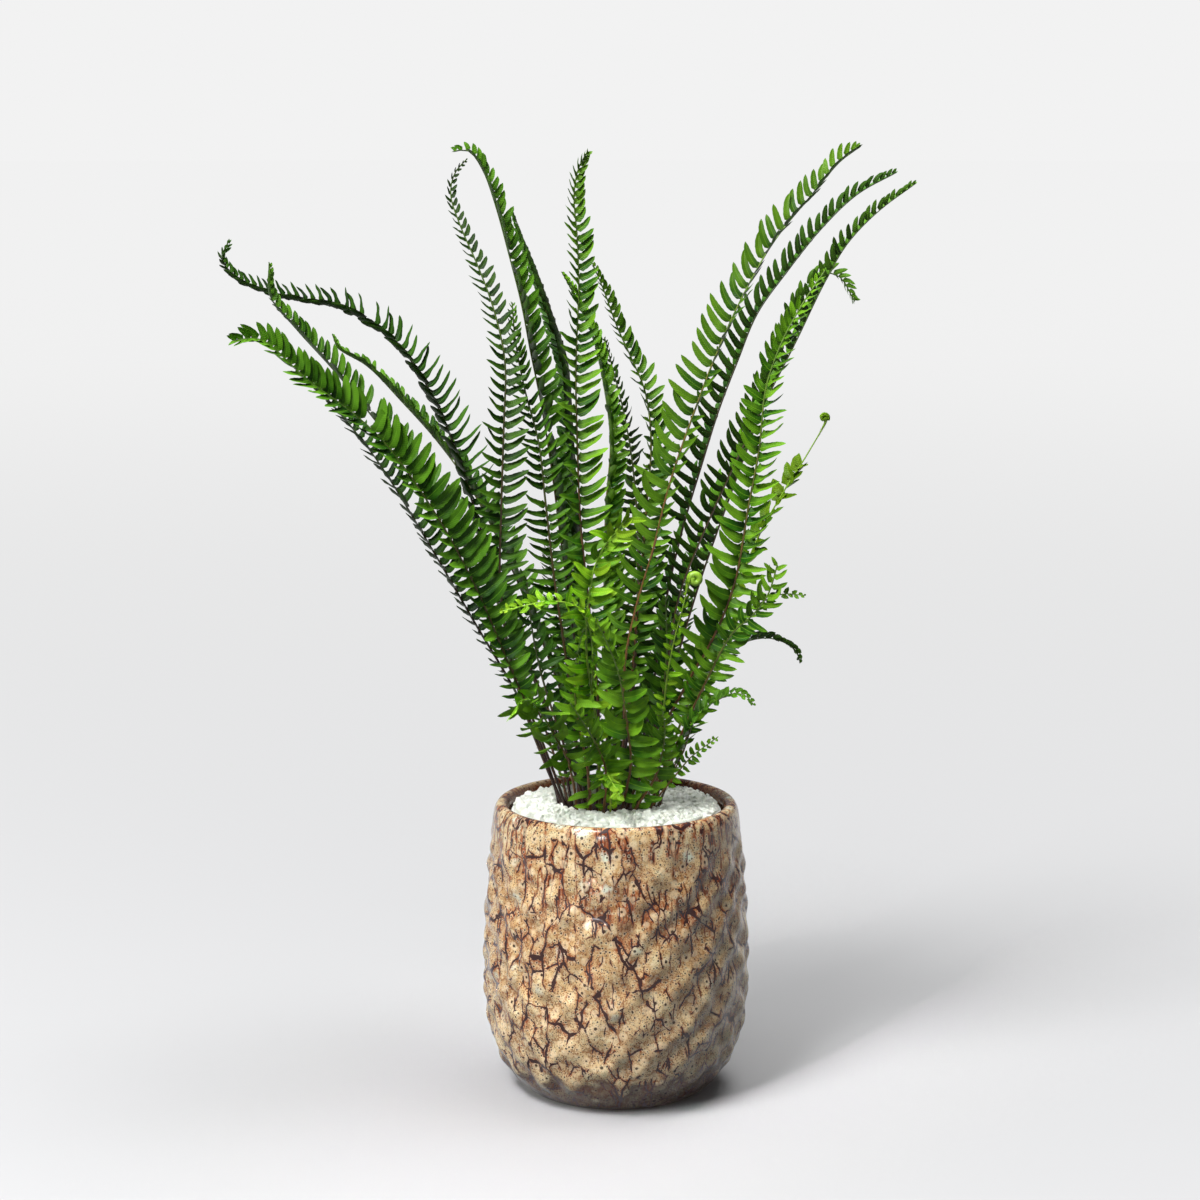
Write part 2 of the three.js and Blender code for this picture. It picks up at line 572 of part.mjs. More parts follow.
// A leaflet's rear shoulder and tip, and the way that its upper skin faces.
function leafletShape(frond, rear, front, side, place, change) {
  const middle = rear.at.clone().lerp(front.at, 0.5);
  const width = rear.at.distanceTo(front.at);
  const length = frond.reach * leafletShare(place) * change.size;
  const fold = degToRad(frond.lift + change.lift);
  const uneven = SWEEP.unevenness * draw(Math.round(1000 * place) + side);
  const sweep = degToRad(lerp(SWEEP.first, SWEEP.last, place ** 2) + uneven);
  const out = rear.right.clone().multiplyScalar(side * Math.cos(fold));
  out.addScaledVector(rear.up, Math.sin(fold));
  const rib = out.multiplyScalar(Math.sin(sweep)).addScaledVector(rear.along, Math.cos(sweep));
  const level = rear.up.clone().addScaledVector(rib, -rear.up.dot(rib)).normalize();
  const forward = rear.along.clone().addScaledVector(rib, -rear.along.dot(rib)).normalize();
  const louvre = degToRad(frond.louvre);
  const skin = level.multiplyScalar(Math.cos(louvre)).addScaledVector(forward, Math.sin(louvre)).normalize();
  const back = rib.clone().cross(skin).multiplyScalar(side * width);
  const shoulder = middle.clone().addScaledVector(rib, SHOULDER.along * length);
  shoulder.addScaledVector(back, SHOULDER.back);
  const tip = middle.clone().addScaledVector(rib, length).addScaledVector(back, -TIP_FORWARD);
  return { shoulder, tip, skin };
}

// Points spread over a triangle, no more than a step apart.
function spread(a, b, c, step) {
  const rows = Math.ceil(Math.max(a.distanceTo(b), a.distanceTo(c), b.distanceTo(c)) / step);
  const points = [];
  for (let i = 0; i <= rows; i++)
    for (let j = 0; j <= rows - i; j++) {
      const p = a.clone().multiplyScalar(1 - (i + j) / rows);
      points.push(p.addScaledVector(b, i / rows).addScaledVector(c, j / rows));
    }
  return points;
}

// Ways to grow a leaflet, best first: as it should be, folded further up or down, then shorter.
const CHANGES = [1, 0.8, 0.6, 0.42].flatMap((size) => [0, 14, -14, 28, -28].map((lift) => ({ size, lift })));
const SPREAD_STEP = 1.5;
const SLACK = 0.8; // half the gap, and what lies between the spread points

// Balls that fill a leaflet, which thins from the stalk's thickness at its root to the blade's at its tip.
function leafletBalls({ shoulder, tip }, root, front, reach) {
  const rearHalf = spread(root, front, shoulder, SPREAD_STEP);
  const frontHalf = spread(front, shoulder, tip, SPREAD_STEP);
  return [...rearHalf, ...frontHalf].map((p) => {
    const thickness = lerp(STALK.thickness, BLADE, Math.min(1, p.distanceTo(root) / reach));
    return { p, radius: thickness / 2 + SLACK };
  });
}

// The first shape of leaflet that is clear of the other fronds and of the pot, or nothing where none is.
function freeLeaflet(frond, rear, front, side, place, air) {
  for (const change of CHANGES) {
    const shape = leafletShape(frond, rear, front, side, place, change);
    const balls = leafletBalls(shape, rear.at, front.at, frond.reach);
    if (balls.some(({ p }) => p.z < LOWEST_LEAFLET) || !air.isFree(balls, frond.name)) continue;
    air.take(balls, frond.name);
    return shape;
  }
  return null;
}

// The faces of a leaflet that grows from the wall of the rib between two sections. The root's corners are the
// upper and lower one at the rear, then at the front.
function leafletFaces(shape, [rearTop, rearLow, frontTop, frontLow], isPlain, points) {
  const { shoulder, tip, skin } = shape;
  const addSkins = (p) => {
    points.push(p.clone().addScaledVector(skin, BLADE / 2), p.clone().addScaledVector(skin, -BLADE / 2));
    return [points.length - 2, points.length - 1];
  };
  const [tipTop, tipLow] = addSkins(tip);
  const frontEdge = [tipTop, tipLow, frontLow, tipTop, frontLow, frontTop];
  if (isPlain)
    return [rearTop, tipTop, frontTop, frontLow, tipLow, rearLow, rearTop, rearLow, tipLow, rearTop, tipLow,
      tipTop, ...frontEdge];
  const [shoulderTop, shoulderLow] = addSkins(shoulder);
  return [
    ...[rearTop, shoulderTop, frontTop, frontTop, shoulderTop, tipTop],
    ...[frontLow, shoulderLow, rearLow, tipLow, shoulderLow, frontLow],
    ...[rearTop, rearLow, shoulderLow, rearTop, shoulderLow, shoulderTop],
    ...[shoulderTop, shoulderLow, tipLow, shoulderTop, tipLow, tipTop],
    ...frontEdge,
  ];
}

// A leaflet on the left is a mirror image, so its faces go round the other way.
function mirrored(faces) {
  return faces.map((_, i) => faces[i - (i % 3) + ((3 - (i % 3)) % 3)]);
}

// The hole that a stalk stands in: the straight end of the stalk, grown by the gap on every side.
function holeSolid(frond, curve) {
  const frames = framesAlong(curve, [0, COLLAR], frond);
  frames[0].at.addScaledVector(frames[0].along, -GAP);
  const points = frames.flatMap((frame) => sectionCorners(frond, frame, GAP));
  const faces = [0, 3, 2, 0, 2, 1, 4, 5, 6, 4, 6, 7];
  for (const [a, b] of [[0, 1], [1, 2], [2, 3], [3, 0]]) faces.push(a, b, b + 4, a, b + 4, a + 4);
  return toSolid(indexedGeometry(points, faces));
}

// A frond's rib, which runs straight from each section to the next.
function frondRib(frond) {
  const curve = ribCurve(frond);
  const { lengths, firstPair, pairs } = sections(frond, curve.getLength());
  return { curve, frames: framesAlong(curve, lengths, frond), firstPair, pairs };
}

// Balls a millimetre apart along a rib.
function ribBalls({ frames }) {
  return frames.slice(1).flatMap(({ at }, i) => {
    const from = frames[i].at;
    const steps = Math.ceil(from.distanceTo(at));
    const ball = (k) => ({ p: from.clone().lerp(at, (k + 1) / steps), radius: STALK.width / 2 });
    return Array.from({ length: steps }, (_, k) => ball(k));
  });
}

// A frond as one closed body: a four-sided rib, with pairs of leaflets that grow from its two side walls.
function frondGeometry(frond, { frames, firstPair, pairs }, air) {
  const points = frames.flatMap((frame) => sectionCorners(frond, frame));
  const faces = [];
  const quad = (a, b, c, d) => faces.push(a, b, c, a, c, d);
  for (let i = 0; i < frames.length - 1; i++) {
    const a = 4 * i;
    const b = a + 4;
    const pair = i - firstPair;
    const place = pair / pairs;
    const isLeafy = pair >= 0 && pair < pairs;
    const isPlain = frond.reach < LARGE_FROND || place > SHOULDERS_END;
    quad(a, a + 1, b + 1, b);
    quad(b + 3, b + 2, a + 2, a + 3);
    const right = isLeafy && freeLeaflet(frond, frames[i], frames[i + 1], 1, place, air);
    if (right) faces.push(...leafletFaces(right, [a + 1, a + 2, b + 1, b + 2], isPlain, points));
    else quad(a + 1, a + 2, b + 2, b + 1);
    const left = isLeafy && freeLeaflet(frond, frames[i], frames[i + 1], -1, place, air);
    if (left) faces.push(...mirrored(leafletFaces(left, [a, a + 3, b, b + 3], isPlain, points)));
    else quad(a + 3, a, b, b + 3);
  }
  const last = 4 * (frames.length - 1);
  quad(0, 3, 2, 1);
  quad(last, last + 1, last + 2, last + 3);
  return indexedGeometry(points, faces);
}

// ---- The plant ---------------------------------------------------------------------------------------
const fern = new THREE.Group();
fern.name = "potted_fern";

function addMesh(name, geometry, material) {
  const mesh = new THREE.Mesh(geometry, material);
  mesh.name = name;
  fern.add(mesh);
}

const air = new TakenAir(4);
const ribs = FRONDS.map(frondRib);
FRONDS.forEach((frond, i) => air.take(ribBalls(ribs[i]), frond.name));
FRONDS.forEach((frond, i) => addMesh(frond.name, frondGeometry(frond, ribs[i], air), MATERIALS[frond.tone]));

const holes = FRONDS.map((frond, i) => holeSolid(frond, ribs[i].curve));
addMesh("soil", toGeometry(soilSolid(holes)), MATERIALS.soil);
addMesh("gravel", gravelGeometry(), MATERIALS.gravel);
addMesh("pot", potGeometry(), MATERIALS.pot);

export default fern;
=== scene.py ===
"""The looks of a potted sword fern: a finer piece takes the place of each CAD node, and every surface gets
its material.

The CAD's sizes are in millimetres, and so are the sizes here. Points are scaled to metres as a mesh is
made."""
import itertools
import math

import bpy
import numpy as np
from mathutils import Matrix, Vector, noise


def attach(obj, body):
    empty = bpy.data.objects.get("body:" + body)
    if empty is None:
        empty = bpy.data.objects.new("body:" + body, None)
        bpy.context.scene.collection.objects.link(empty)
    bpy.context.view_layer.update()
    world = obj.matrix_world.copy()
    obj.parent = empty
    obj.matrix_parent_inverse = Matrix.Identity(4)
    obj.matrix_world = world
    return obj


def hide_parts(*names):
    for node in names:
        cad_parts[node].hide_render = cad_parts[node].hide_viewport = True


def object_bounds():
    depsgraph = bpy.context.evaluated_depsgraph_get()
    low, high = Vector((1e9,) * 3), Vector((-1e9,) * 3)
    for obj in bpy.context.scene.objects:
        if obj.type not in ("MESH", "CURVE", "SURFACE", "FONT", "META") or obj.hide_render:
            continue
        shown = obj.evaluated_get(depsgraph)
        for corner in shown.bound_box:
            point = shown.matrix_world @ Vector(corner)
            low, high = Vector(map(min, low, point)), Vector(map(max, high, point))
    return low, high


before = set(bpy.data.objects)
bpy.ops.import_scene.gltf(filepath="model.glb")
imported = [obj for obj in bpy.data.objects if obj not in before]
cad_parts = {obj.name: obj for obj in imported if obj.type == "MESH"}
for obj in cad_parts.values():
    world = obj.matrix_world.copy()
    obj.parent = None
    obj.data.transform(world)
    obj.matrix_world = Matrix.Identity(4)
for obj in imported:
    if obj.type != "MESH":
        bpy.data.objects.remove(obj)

CAD_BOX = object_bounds()
MM = 0.001

# ---- Sizes that the CAD has too ----------------------------------------------------------------------
POT_HEIGHT = 200
POT_RADIUS = 90
BELLY_HEIGHT = 77
SHOULDER_RADIUS = 84
SHOULDER_HEIGHT = 187
FOOT_RADIUS = 57
MOUTH_RADIUS = 72
WALL = 9
FLOOR_HEIGHT = 12
BUMPS_ROUND = 36  # bumps and hollows by turns
BUMP_ROWS = 13
BUMP_DEPTH = 2.2
AXIS = 0.01  # radius of the small ring in which the pot's surfaces end at its middle

SOIL_TOP = 190
ROOT_DEPTH = 22
COLLAR = ROOT_DEPTH + 3
GRAVEL_BASE = 190.3
GRAVEL_DEPTH = 6.5
CROWN = {"x": -4, "y": 7, "half_width": 42, "half_depth": 36}

STALK = {"width": 2.8, "thickness": 2.2, "tip_width": 1.1, "tip_thickness": 0.8}
SMALL_FROND = 13
SMALL_STALK = 0.7
CROWDING = 1.2
SWEEP = {"first": 82, "last": 45}
LOWEST_LEAFLET = POT_HEIGHT - 0.5
COIL_STEPS = 8
COIL_SHRINK = 0.6
SURVEY = {"x": -11, "distance": 1900, "height": 660}

# ---- Finer detail that only this scene has -----------------------------------------------------------
PITCH = {"large": 0.335, "small": 0.46, "least": 4.2, "most": 7.8}  # from leaflet to leaflet on one side
LEAFLET_WIDTH = {"large": 0.26, "small": 0.54}  # shares of the longest leaflet's length
BLADE = 0.32  # thickness
AIR_CELL = 2.4
FILL = 0.11  # strength of the backdrop as a lamp
LAMP_HEIGHT = 1.95  # in metres
PROUD = 1.5  # how far the tops of the pot's soft bumps stand out from the CAD's corners
# How uneven the net of bumps is: the size of its waves, how far a bump is shifted, as a share of a bump's
# width and of its height, and how much deeper or flatter it gets.
DRIFT = {"wave": 34, "round": 0.55, "up": 0.45, "depth": 0.35}
MOUND = 2.6  # how much higher the soil lies among the stalks
CRUMBS = {"count": 420, "least": 0.6, "most": 1.9, "corners": 9}  # loose bits of soil
CHIPS = {"spacing": 4.3, "least": 2.2, "most": 3.2, "corners": 17}  # loose stones
CHIP_LAYERS = (2.6, 0.6)  # how deep each layer of stones sinks into the heap
RIB_SIDES = 8
RIB_SHARE = 0.84  # the rib's width here, as a share of the CAD's
COIL_SWELL = 0.52  # how much thicker a rib gets in its coil, as a share of the coil's radius
LEAFLET_COLUMNS = 4
LEAFLET_ROWS = {"length": 1.7, "least": 5, "most": 14}
COIL_LEAFLETS = 40
COIL_LEANS = (-115, -65, -20, 20, 65, 115)  # where a coil's leaflets stand round its rib, in degrees
FRESHNESS = {"young": 0.5, "bright": 0.25}  # how much more unevenly a fresh frond grows
SEEDS = {"pot": 7, "soil": 11, "gravel": 5, "fronds": 100}  # a frond adds its own number
CAMERA = {"sensor": 36, "focal_length": 86.04, "pitch": 9.62}

# The lamps, in metres. towards: the point that each looks at.  spread: how wide its light goes, in degrees.
LAMPS = [
    {"name": "key", "at": (-0.8, -1.0, LAMP_HEIGHT), "towards": (0, 0, 0.3), "side": 0.7, "watts": 52},
    {"name": "top", "at": (0.3, 0.2, LAMP_HEIGHT), "towards": (0, 0, 0.3), "side": 1.0, "watts": 28},
    {"name": "glints", "at": (-0.5, -2.1, 0.86), "towards": (0, 0, 0.1), "side": 0.3, "watts": 7},
    {"name": "pot_side", "at": (-0.95, -1.35, 1.0), "towards": (0, 0, 0.035), "side": 0.25, "watts": 0.15,
     "spread": 12},
]

# What a frond has where its own line says nothing else.
USUAL = {
    "twist": 0, "skew": 0, "broad": 1, "blunt": 0.5, "close": 1, "shade": (0, 0), "unruly": 0, "bare_tip": 0,
    "coil": None,
}


def frond(name, **values):
    """One frond's values: its own, and the usual ones for the rest."""
    return USUAL | {"name": name} | values


# The fronds. Roots and routes are as they were surveyed for the CAD. Some of the other values differ from
# the CAD's, because the finer leaflets come closer to the photograph with them.
# root: where the stalk leaves the soil, (x, y).
# reach: longest leaflet.  bare: share of the length that has no leaflets.
# face: compass angle that the upper side looks to at the root.  twist: how far it turns towards the tip.
# lift: how far both rows of leaflets are folded up.
# louvre: turn of a leaflet about its own midrib, at the lowest and the highest leaflet.
# skew: how much further the right row is turned than the louvre says, and the left row less.
# broad: how much wider the leaflets are than usual.  blunt: how late they shorten, later if less.
# close: how far apart the leaflets stand, as a share of the usual step.
# shade: how much darker than its tone a frond is, low down and at its tip, or below 0 how much lighter;
# partly its own tone, partly painted shade on fronds at the back and in the heart, and painted light on
# those in front.
# unruly: how much more unevenly it grows.  bare_tip: share without leaflets below the tip.
# coil: a crozier's curled end, with the side that it winds to.
# route: (x, z, depth), with x and z as they appear on the upright plane through the pot's axis, and depth the
# real y.
FRONDS = [
    frond(
        "left_low", tone="mature", root=(-33, -10), reach=27, bare=0.24, face=-48, lift=42, louvre=(20, 24),
        broad=1.12, blunt=0.36, close=0.88,
        route=((-50, 240, -20), (-72, 292, -32), (-94, 345, -44), (-122, 398, -58), (-160, 450, -72),
               (-208, 489, -84), (-236, 513, -90), (-254, 512, -94)),
    ),
    frond(
        "left_under", tone="dark", root=(-38, 8), reach=24, bare=0.26, face=-45, lift=38, louvre=(40, 50),
        close=0.85, shade=(0.3, 0.3),
        route=((-50, 235, 20), (-68, 275, 26), (-95, 322, 32), (-125, 375, 38), (-160, 433, 44),
               (-185, 465, 48), (-205, 487, 52)),
    ),
    frond(
        "left_arch", tone="dark", root=(-30, 15), reach=25, bare=0.22, face=-42, lift=36, louvre=(66, 72),
        close=0.78, shade=(0.3, 0.3),
        route=((-40, 240, 28), (-58, 290, 36), (-80, 350, 46), (-95, 400, 54), (-108, 442, 62),
               (-128, 486, 70), (-152, 517, 76), (-183, 534, 82), (-220, 541, 88), (-250, 553, 92),
               (-260, 566, 93), (-255, 578, 93)),
    ),
    frond(
        "left_mid", tone="mature", root=(-30, 2), reach=22, bare=0.28, face=-30, lift=42, louvre=(25, 35),
        broad=1.1, close=0.9, shade=(0.15, 0.15),
        route=((-40, 245, 10), (-62, 300, 14), (-92, 358, 14), (-125, 410, 8), (-158, 456, 0),
               (-187, 492, -8), (-212, 520, -14), (-229, 542, -18), (-229, 563, -20)),
    ),
    frond(
        "left_inner", tone="mature", root=(-23, 22), reach=20, bare=0.2, face=-25, lift=42, louvre=(25, 40),
        broad=1.15, close=0.8,
        route=((-30, 250, 46), (-50, 310, 64), (-75, 370, 84), (-98, 415, 98), (-120, 446, 110),
               (-143, 472, 120), (-165, 495, 127), (-184, 507, 131), (-188, 516, 132)),
    ),
    frond(
        "hook_tall", tone="mature", root=(-19, 10), reach=20, bare=0.24, face=-25, lift=44, louvre=(20, 20),
        broad=1.2, blunt=0.4,
        route=((-20, 250, 20), (-28, 310, 28), (-36, 370, 34), (-43, 425, 36), (-50, 470, 36),
               (-57, 505, 32), (-63, 537, 28), (-70, 565, 24), (-80, 602, 18), (-88, 624, 14),
               (-97, 636, 10), (-107, 636, 8)),
    ),
    frond(
        "back_dark", tone="dark", root=(-13, 23), reach=20, bare=0.12, face=200, lift=42, louvre=(40, 48),
        broad=1.45, close=0.85, shade=(0.3, 0.3),
        route=((-12, 260, 46), (-20, 330, 62), (-26, 400, 76), (-29, 450, 86), (-33, 500, 94),
               (-40, 522, 98), (-52, 556, 104), (-62, 580, 108), (-68, 596, 110)),
    ),
    frond(
        "screen_tall", tone="mature", root=(-35, -1), reach=22, bare=0.2, face=-90, twist=30, lift=15,
        louvre=(50, 22), broad=1.1, blunt=0.64, close=0.9, shade=(0.25, 0.9),
        route=((-48, 225, 1), (-60, 257, -1), (-72, 300, -5), (-78, 350, -8), (-77, 400, -9),
               (-75, 455, -7), (-74, 498, -2), (-81, 532, 5), (-91, 560, 11), (-103, 588, 17),
               (-109, 608, 21), (-106, 622, 23), (-98, 631, 25)),
    ),
    frond(
        "screen_short", tone="mature", root=(-25, -4), reach=21, bare=0.2, face=-90, twist=15, lift=18,
        louvre=(50, 40), broad=1.12, close=0.85, shade=(0.25, 0.25),
        route=((-28, 250, 0), (-35, 305, 4), (-42, 355, 6), (-48, 410, 6), (-52, 445, 6), (-61, 480, 8),
               (-67, 512, 12), (-69, 537, 16)),
    ),
    frond(
        "centre_tall", tone="bright", root=(-13, 1), reach=23, bare=0.16, face=-60, lift=28, louvre=(40, 34),
        broad=1.12, blunt=0.42, close=0.9, shade=(0.1, 0.25),
        route=((-12, 260, -1), (-18, 330, -5), (-24, 390, -8), (-26, 440, -10), (-27, 490, -10),
               (-25, 550, -10), (-26, 580, -11), (-28, 608, -13), (-25, 625, -15), (-19, 636, -17)),
    ),
    frond(
        "centre_behind", tone="bright", root=(-8, 12), reach=20, bare=0.1, face=-30, lift=38,
        louvre=(40, 44), broad=1.3, close=0.85,
        route=((-6, 260, 24), (-8, 330, 31), (-7, 400, 36), (-4, 445, 38), (-8, 480, 38), (-16, 515, 34),
               (-27, 540, 30), (-36, 557, 28)),
    ),
    frond(
        "centre_right", tone="bright", root=(-2, 6), reach=21, bare=0.2, face=-50, lift=33, louvre=(38, 30),
        broad=1.15, close=0.9, shade=(0.2, 0.35),
        route=((8, 260, 10), (14, 330, 12), (20, 400, 14), (23, 445, 14), (19, 478, 14), (10, 500, 14),
               (0, 522, 12), (-8, 544, 10), (-16, 563, 8)),
    ),
    frond(
        "back_small", tone="dark", root=(-1, 25), reach=17, bare=0.12, face=90, lift=15, louvre=(44, 54),
        broad=1.3,
        route=((10, 260, 56), (14, 330, 84), (14, 390, 106), (10, 435, 120), (4, 468, 129), (-3, 495, 135),
               (-8, 514, 139)),
    ),
    frond(
        "right_tall", tone="bright", root=(-1, -7), reach=27, bare=0.2, face=-118, twist=-34, lift=38,
        louvre=(8, 22), broad=0.88, blunt=0.36, shade=(0.4, 0.5),
        route=((5, 240, -11), (6, 295, -18), (13, 332, -22), (24, 370, -26), (36, 418, -30), (50, 460, -32),
               (66, 503, -34), (84, 543, -34), (104, 578, -32), (130, 610, -28), (146, 629, -25),
               (158, 638, -22)),
    ),
    frond(
        "right_dark", tone="dark", root=(6, 14), reach=24, bare=0.12, face=155, lift=40, louvre=(36, 34),
        broad=0.85, blunt=0.4,
        route=((22, 260, 28), (32, 330, 38), (44, 385, 46), (57, 430, 52), (68, 466, 58), (80, 498, 64),
               (93, 530, 68), (112, 557, 72), (135, 586, 76), (158, 608, 78), (183, 622, 80)),
    ),
    frond(
        "right_outer", tone="mature", root=(14, 7), reach=23, bare=0.14, face=158, lift=42, louvre=(34, 34),
        broad=0.82, blunt=0.42, close=0.88, shade=(0.15, 0.15),
        route=((32, 280, 14), (42, 340, 18), (56, 378, 20), (78, 428, 20), (97, 468, 20), (118, 510, 20),
               (137, 550, 20), (152, 576, 20), (172, 597, 20), (196, 615, 20)),
    ),
    frond(
        "right_front", tone="bright", root=(11, -6), reach=25, bare=0.14, face=-90, twist=-15, lift=20,
        louvre=(46, 42), skew=14, broad=1.2, close=0.92, shade=(0.45, -0.35),
        route=((32, 250, -14), (48, 281, -24), (68, 318, -34), (80, 352, -42), (88, 400, -48),
               (95, 440, -52), (99, 480, -54), (108, 508, -54), (122, 535, -53), (137, 558, -52)),
    ),
    frond(
        "right_droop", tone="mature", root=(14, 21), reach=18, bare=0.13, face=160, lift=34, louvre=(30, 40),
        blunt=0.32,
        route=((36, 280, 52), (56, 350, 76), (80, 420, 98), (103, 485, 112), (120, 535, 121),
               (135, 556, 126), (147, 554, 130), (157, 538, 133)),
    ),
    frond(
        "crozier_thin", tone="young", root=(23, 4), reach=15, bare=0.3, face=-150, lift=15, louvre=(15, 20),
        broad=1.4, blunt=0.15, close=1.3, shade=(0.55, 0.4), bare_tip=0.11,
        coil={"radius": 1.9, "turns": 1, "to": 1},
        route=((46, 260, 4), (62, 305, 0), (80, 345, -5), (97, 385, -8), (112, 412, -8), (128, 438, -8),
               (140, 461, -8)),
    ),
    frond(
        "side_rising", tone="bright", root=(21, -4), reach=17, bare=0.3, face=-100, lift=10, louvre=(20, 20),
        blunt=0.25, close=1.4,
        route=((46, 250, -19), (62, 285, -35), (78, 315, -48), (92, 328, -57), (102, 342, -64),
               (108, 362, -68)),
    ),
    frond(
        "side_out", tone="bright", root=(28, 0), reach=11, bare=0.34, face=-120, lift=15, louvre=(20, 20),
        close=1.2, shade=(0.3, 0),
        route=((50, 250, -2), (64, 290, -9), (80, 322, -16), (97, 336, -22), (112, 342, -27),
               (127, 341, -31)),
    ),
    frond(
        "side_droop", tone="mature", root=(25, 11), reach=13, bare=0.34, face=180, lift=15, louvre=(20, 30),
        broad=1.2,
        route=((50, 255, 22), (64, 290, 29), (82, 307, 36), (100, 312, 42), (113, 309, 46), (121, 303, 48),
               (124, 295, 49)),
    ),
    frond(
        "low_right", tone="mature", root=(26, -9), reach=12, bare=0.26, face=180, lift=15, louvre=(20, 20),
        route=((46, 235, -22), (54, 258, -35), (68, 269, -48), (80, 274, -57), (88, 272, -63),
               (93, 266, -66)),
    ),
    frond(
        "low_twig", tone="bright", root=(20, -13), reach=8, bare=0.34, face=-120, lift=10, louvre=(10, 10),
        close=1.3,
        route=((44, 222, -24), (52, 231, -33), (61, 238, -41), (69, 244, -47)),
    ),
    frond(
        "crozier_young", tone="young", root=(14, -14), reach=8, bare=0.42, face=-90, lift=5, louvre=(10, 10),
        close=1.7, coil={"radius": 3.7, "turns": 1.1, "to": -1},
        route=((30, 250, -34), (35, 290, -52), (40, 315, -61), (45, 334, -67), (49, 352, -72)),
    ),
    frond(
        "lime_left", tone="young", root=(-19, -11), reach=14, bare=0.44, face=0, lift=20, louvre=(10, 10),
        unruly=1,
        route=((-18, 250, -33), (-16, 290, -52), (-18, 318, -66), (-28, 334, -77), (-45, 337, -86),
               (-62, 334, -93), (-78, 330, -98)),
    ),
    frond(
        "lime_centre", tone="young", root=(-11, -14), reach=19, bare=0.3, face=-90, lift=15, louvre=(25, 30),
        broad=1.35, blunt=0.22, close=1.15, unruly=1,
        route=((-13, 250, -38), (-20, 300, -58), (-19, 335, -70), (-14, 362, -77), (-4, 380, -82),
               (8, 394, -86)),
    ),
    frond(
        "front_right", tone="bright", root=(3, -15), reach=25, bare=0.14, face=-95, lift=10, louvre=(36, 28),
        broad=1.35, close=1.1, shade=(0, -0.4), unruly=1,
        route=((10, 225, -33), (8, 248, -50), (5, 270, -63), (1, 290, -74), (-6, 308, -84),
               (-14, 325, -92)),
    ),
    frond(
        "front_left", tone="bright", root=(-17, -19), reach=20, bare=0.16, face=-90, lift=12,
        louvre=(25, 25), broad=1.35, shade=(-0.1, -0.45), unruly=2,
        route=((-20, 225, -30), (-25, 250, -41), (-28, 275, -51), (-27, 298, -59), (-22, 318, -65)),
    ),
    frond(
        "front_slant", tone="bright", root=(-9, -21), reach=17, bare=0.14, face=-60, lift=12,
        louvre=(20, 20), broad=1.3, shade=(-0.2, -0.45), unruly=2,
        route=((-7, 220, -38), (-12, 235, -53), (-20, 250, -68), (-31, 267, -84)),
    ),
    frond(
        "left_cluster", tone="bright", root=(-26, -17), reach=25, bare=0.34, face=-80, lift=25,
        louvre=(-12, -12), broad=1.3, blunt=0.16, close=1.15, shade=(-0.3, -0.45), unruly=2,
        route=((-32, 225, -32), (-42, 245, -48), (-52, 262, -65), (-60, 270, -80), (-66, 268, -90)),
    ),
    frond(
        "gravel_trailer", tone="young", root=(-4, -22), reach=9, bare=0.3, face=-90, lift=10, louvre=(0, 0),
        broad=1.35, blunt=0.25, unruly=1,
        route=((-4, 214, -37), (-6, 218, -50), (-2, 211, -62), (3, 202, -70)),
    ),
    frond(
        "low_stem", tone="bright", root=(9, -19), reach=14, bare=0.16, face=-90, lift=10, louvre=(10, 10),
        broad=1.2, shade=(-0.1, -0.3), unruly=1,
        route=((26, 215, -32), (31, 232, -42), (33, 248, -50), (31, 264, -57)),
    ),
    frond(
        "heart_right", tone="mature", root=(6, -2), reach=20, bare=0.18, face=-110, lift=20, louvre=(30, 30),
        broad=1.3, shade=(0.45, 0.3), unruly=1.5,
        route=((24, 235, -8), (31, 270, -14), (34, 305, -18), (33, 340, -20)),
    ),
    frond(
        "heart_left", tone="dark", root=(-19, -4), reach=20, bare=0.3, face=-90, lift=20, louvre=(35, 35),
        broad=1.3, shade=(0.55, 0.4), unruly=1.5,
        route=((-36, 240, -26), (-50, 285, -27), (-57, 320, -27), (-60, 350, -26)),
    ),
    frond(
        "rear_left", tone="dark", root=(-22, 29), reach=21, bare=0.14, face=-70, lift=15, louvre=(30, 40),
        broad=1.6, close=0.8, shade=(0.45, 0.2),
        route=((-26, 262, 66), (-36, 318, 94), (-43, 355, 122), (-46, 376, 150)),
    ),
    frond(
        "rear_middle", tone="mature", root=(-7, 32), reach=22, bare=0.14, face=-90, lift=15, louvre=(30, 40),
        broad=1.6, close=0.8, shade=(0.45, 0.2),
        route=((1, 262, 70), (2, 322, 102), (1, 362, 134), (-2, 384, 166)),
    ),
    frond(
        "rear_right", tone="dark", root=(7, 30), reach=21, bare=0.14, face=-110, lift=15, louvre=(30, 40),
        broad=1.6, close=0.8, shade=(0.45, 0.2),
        route=((27, 262, 68), (39, 316, 98), (47, 352, 126), (52, 374, 156)),
    ),
    frond(
        "rear_low_right", tone="bright", root=(20, 27), reach=17, bare=0.14, face=-135, lift=12,
        louvre=(20, 35),
        route=((47, 248, 60), (62, 288, 88), (70, 312, 116), (73, 322, 142)),
    ),
    frond(
        "rear_low_left", tone="bright", root=(-33, 25), reach=17, bare=0.14, face=-45, lift=12,
        louvre=(20, 35),
        route=((-47, 246, 58), (-62, 284, 86), (-71, 306, 114), (-75, 314, 140)),
    ),
]


# ---- Small helpers -----------------------------------------------------------------------------------
def lerp(a, b, share):
    return a + (b - a) * share


def smooth_step(x, low=0.0, high=1.0):
    share = np.clip((x - low) / (high - low), 0, 1)
    return share * share * (3 - 2 * share)


def unit(v):
    return v / np.maximum(np.linalg.norm(v, axis=-1, keepdims=True), 1e-9)


def angles_round(count):
    return 2 * np.pi * np.arange(count) / count


